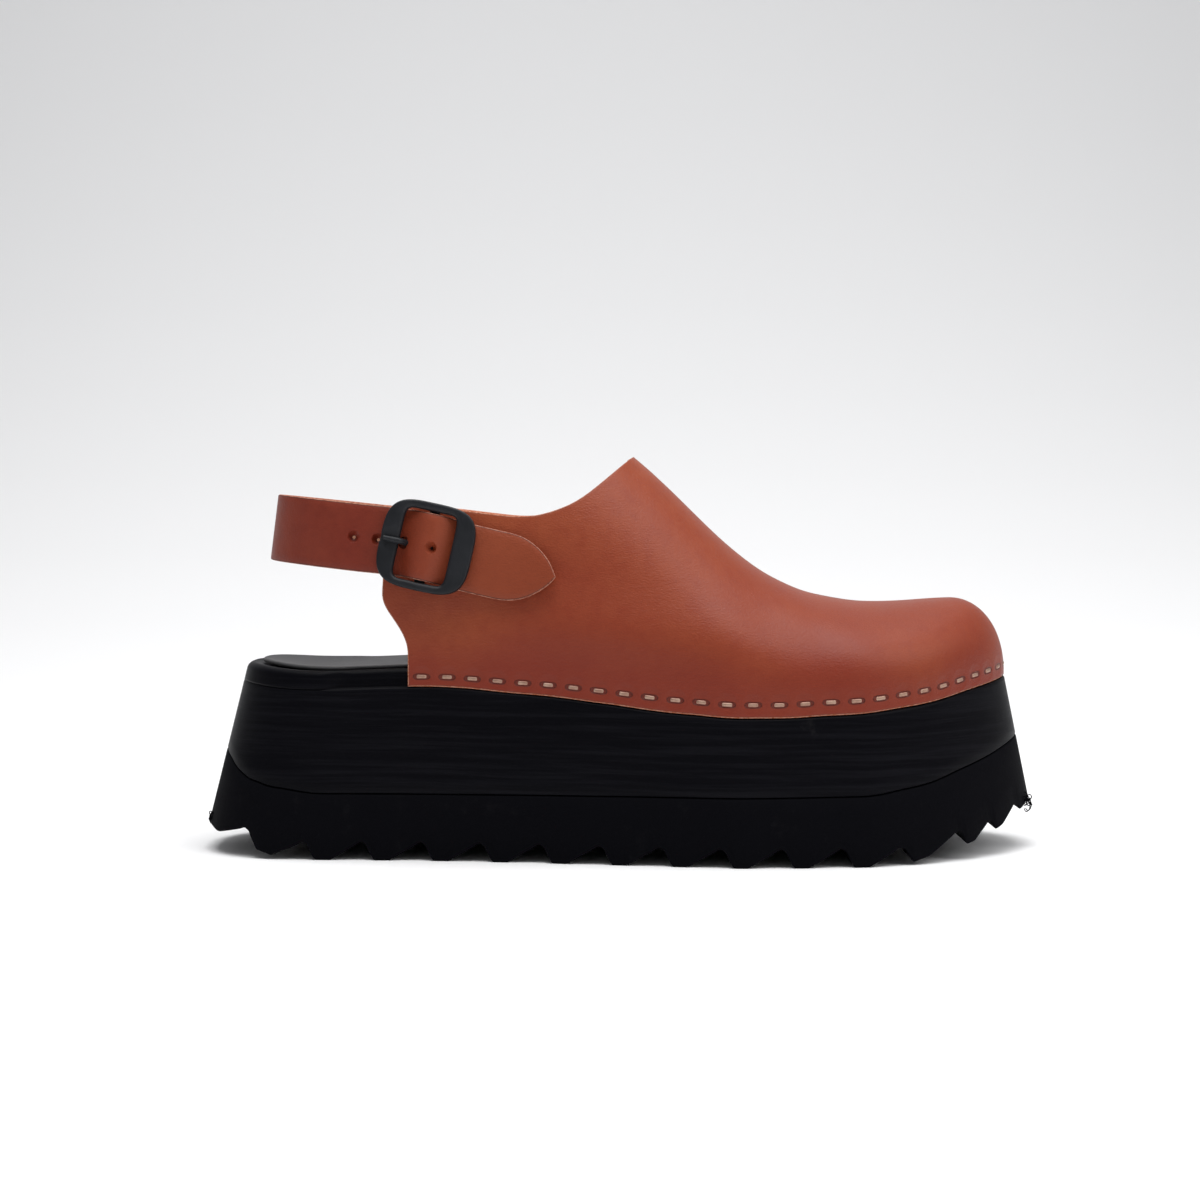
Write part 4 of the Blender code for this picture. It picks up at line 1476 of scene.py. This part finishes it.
def repeatAlong(line, length, width, depth, sunk, finish):
    tree = bpy.data.node_groups.new(line.name + "Tree", "GeometryNodeTree")
    tree.interface.new_socket("Seats", in_out="INPUT", socket_type="NodeSocketGeometry")
    sizes = {"Length": length, "Width": width, "Depth": depth, "Sunk": sunk}
    inputs = {}
    for name, value in sizes.items():
        socket = tree.interface.new_socket(name, in_out="INPUT", socket_type="NodeSocketFloat")
        socket.default_value = value
        inputs[name] = socket.identifier
    tree.interface.new_socket("Row", in_out="OUTPUT", socket_type="NodeSocketGeometry")

    def node(kind, settings, sockets):
        made = tree.nodes.new(kind)
        for name, setting in settings.items():
            setattr(made, name, setting)
        for name, value in sockets.items():
            if hasattr(value, "is_output"):
                tree.links.new(value, made.inputs[name])
            else:
                made.inputs[name].default_value = value
        return made

    def maths(operation, first, second):
        return node("ShaderNodeMath", {"operation": operation}, {0: first, 1: second}).outputs[0]

    given = node("NodeGroupInput", {}, {}).outputs
    half = maths("MULTIPLY", given["Width"], 0.5)
    wire = node("GeometryNodeMeshCylinder", {}, {"Vertices": 10, "Side Segments": 12, "Radius": half,
                                                 "Depth": given["Length"]}).outputs["Mesh"]
    where = node("GeometryNodeInputPosition", {}, {}).outputs[0]
    apart = node("ShaderNodeSeparateXYZ", {}, {0: where}).outputs
    share = maths("DIVIDE", apart["Z"], given["Length"])
    drop = maths("MULTIPLY", maths("POWER", share, 8.0), -0.36)
    thin = maths("MULTIPLY", apart["X"], maths("DIVIDE", given["Depth"], given["Width"]))
    seated = maths("SUBTRACT", maths("ADD", thin, drop), given["Sunk"])
    bent = node("ShaderNodeCombineXYZ", {}, {"X": apart["Z"], "Y": apart["Y"], "Z": seated})
    shaped = node("GeometryNodeSetPosition", {}, {"Geometry": wire, "Position": bent.outputs[0]}).outputs[0]
    along = node("GeometryNodeInputNamedAttribute", {"data_type": "FLOAT_VECTOR"}, {"Name": "tangent"})
    out = node("GeometryNodeInputNamedAttribute", {"data_type": "FLOAT_VECTOR"}, {"Name": "outward"})
    facing = node("FunctionNodeAlignRotationToVector", {"axis": "Z"}, {"Vector": out.outputs[0]}).outputs[0]
    turned = node("FunctionNodeAlignRotationToVector", {"axis": "X", "pivot_axis": "Z"},
                  {"Rotation": facing, "Vector": along.outputs[0]}).outputs[0]
    placed = node("GeometryNodeInstanceOnPoints", {}, {"Points": given["Seats"], "Instance": shaped,
                                                       "Rotation": turned}).outputs[0]
    real = node("GeometryNodeRealizeInstances", {}, {"Geometry": placed}).outputs[0]
    smoothed = node("GeometryNodeSetShadeSmooth", {}, {"Geometry": real}).outputs[0]
    coated = node("GeometryNodeSetMaterial", {}, {"Geometry": smoothed, "Material": finish}).outputs[0]
    node("NodeGroupOutput", {}, {"Row": coated})
    row = line.modifiers.new("row", "NODES")
    row.node_group = tree
    for name, value in sizes.items():
        row[inputs[name]] = value
    bakeModifiers(line)
    line.data.set_sharp_from_angle(angle=math.radians(60))


stitches = {
    "spacing": 0.0027,
    "length": 0.0021,
    "width": 0.0006,
    "depth": 0.0004,
    "inset": 0.0030,             # from the strap's edges
    "boxLength": 0.0150,
}


def makeStitches(finish):        # the sewn box at the strap's inner end
    front = strapSizes["innerEndX"] - stitches["inset"]
    rear = front - stitches["boxLength"]
    reach = strapSizes["width"] / 2 - stitches["inset"]
    near = stitches["inset"]
    corners = [(front, -reach), (front, reach), (rear, reach), (rear, -reach), (front, -reach)]
    seats, rims, ways = [], [], []
    for (x0, up0), (x1, up1) in zip(corners, corners[1:]):
        count = round(math.hypot(x1 - x0, up1 - up0) / stitches["spacing"])
        start = strapBase(x0, inner, 1, up0)
        end = strapBase(x1, inner, 1, up1)
        for step in range(count):
            share = (step + 0.5) / count
            x, up = mix(x0, x1, share), mix(up0, up1, share)
            ahead = strapBase(x + near, inner, 1, up) - strapBase(x - near, inner, 1, up)
            down = strapBase(x, inner, 1, up - near) - strapBase(x, inner, 1, up + near)
            out = ahead.cross(down).normalized()
            seats.append(strapBase(x, inner, 1, up) + out * (strapSizes["rest"] + strapSizes["thickness"]))
            rims.append(end - start)
            ways.append(out)
    line = seatLine("stitchRow", seats, rims, ways)
    repeatAlong(line, stitches["length"], stitches["width"], stitches["depth"], 0.0, finish)
    addPiece(line, None, finish)


bpy.context.scene.view_settings.view_transform = "Standard"
makeCamera()
makeRoom()
print("camera and room made")
enamel = enamelFinish()
rubber = rubberFinish()
makeOutsole(rubber)
makeWhiskers(rubber)
makePlatform(woodFinish())
makeInsole(insoleFinish())
makeUpper(leatherFinish("upperLeather", "upper", True))
makeStrap(leatherFinish("strapLeather", "strap", False))
makeBuckle(enamel)
makeProng(enamel)
makeStaples(stapleFinish())
makeStitches(threadFinish())
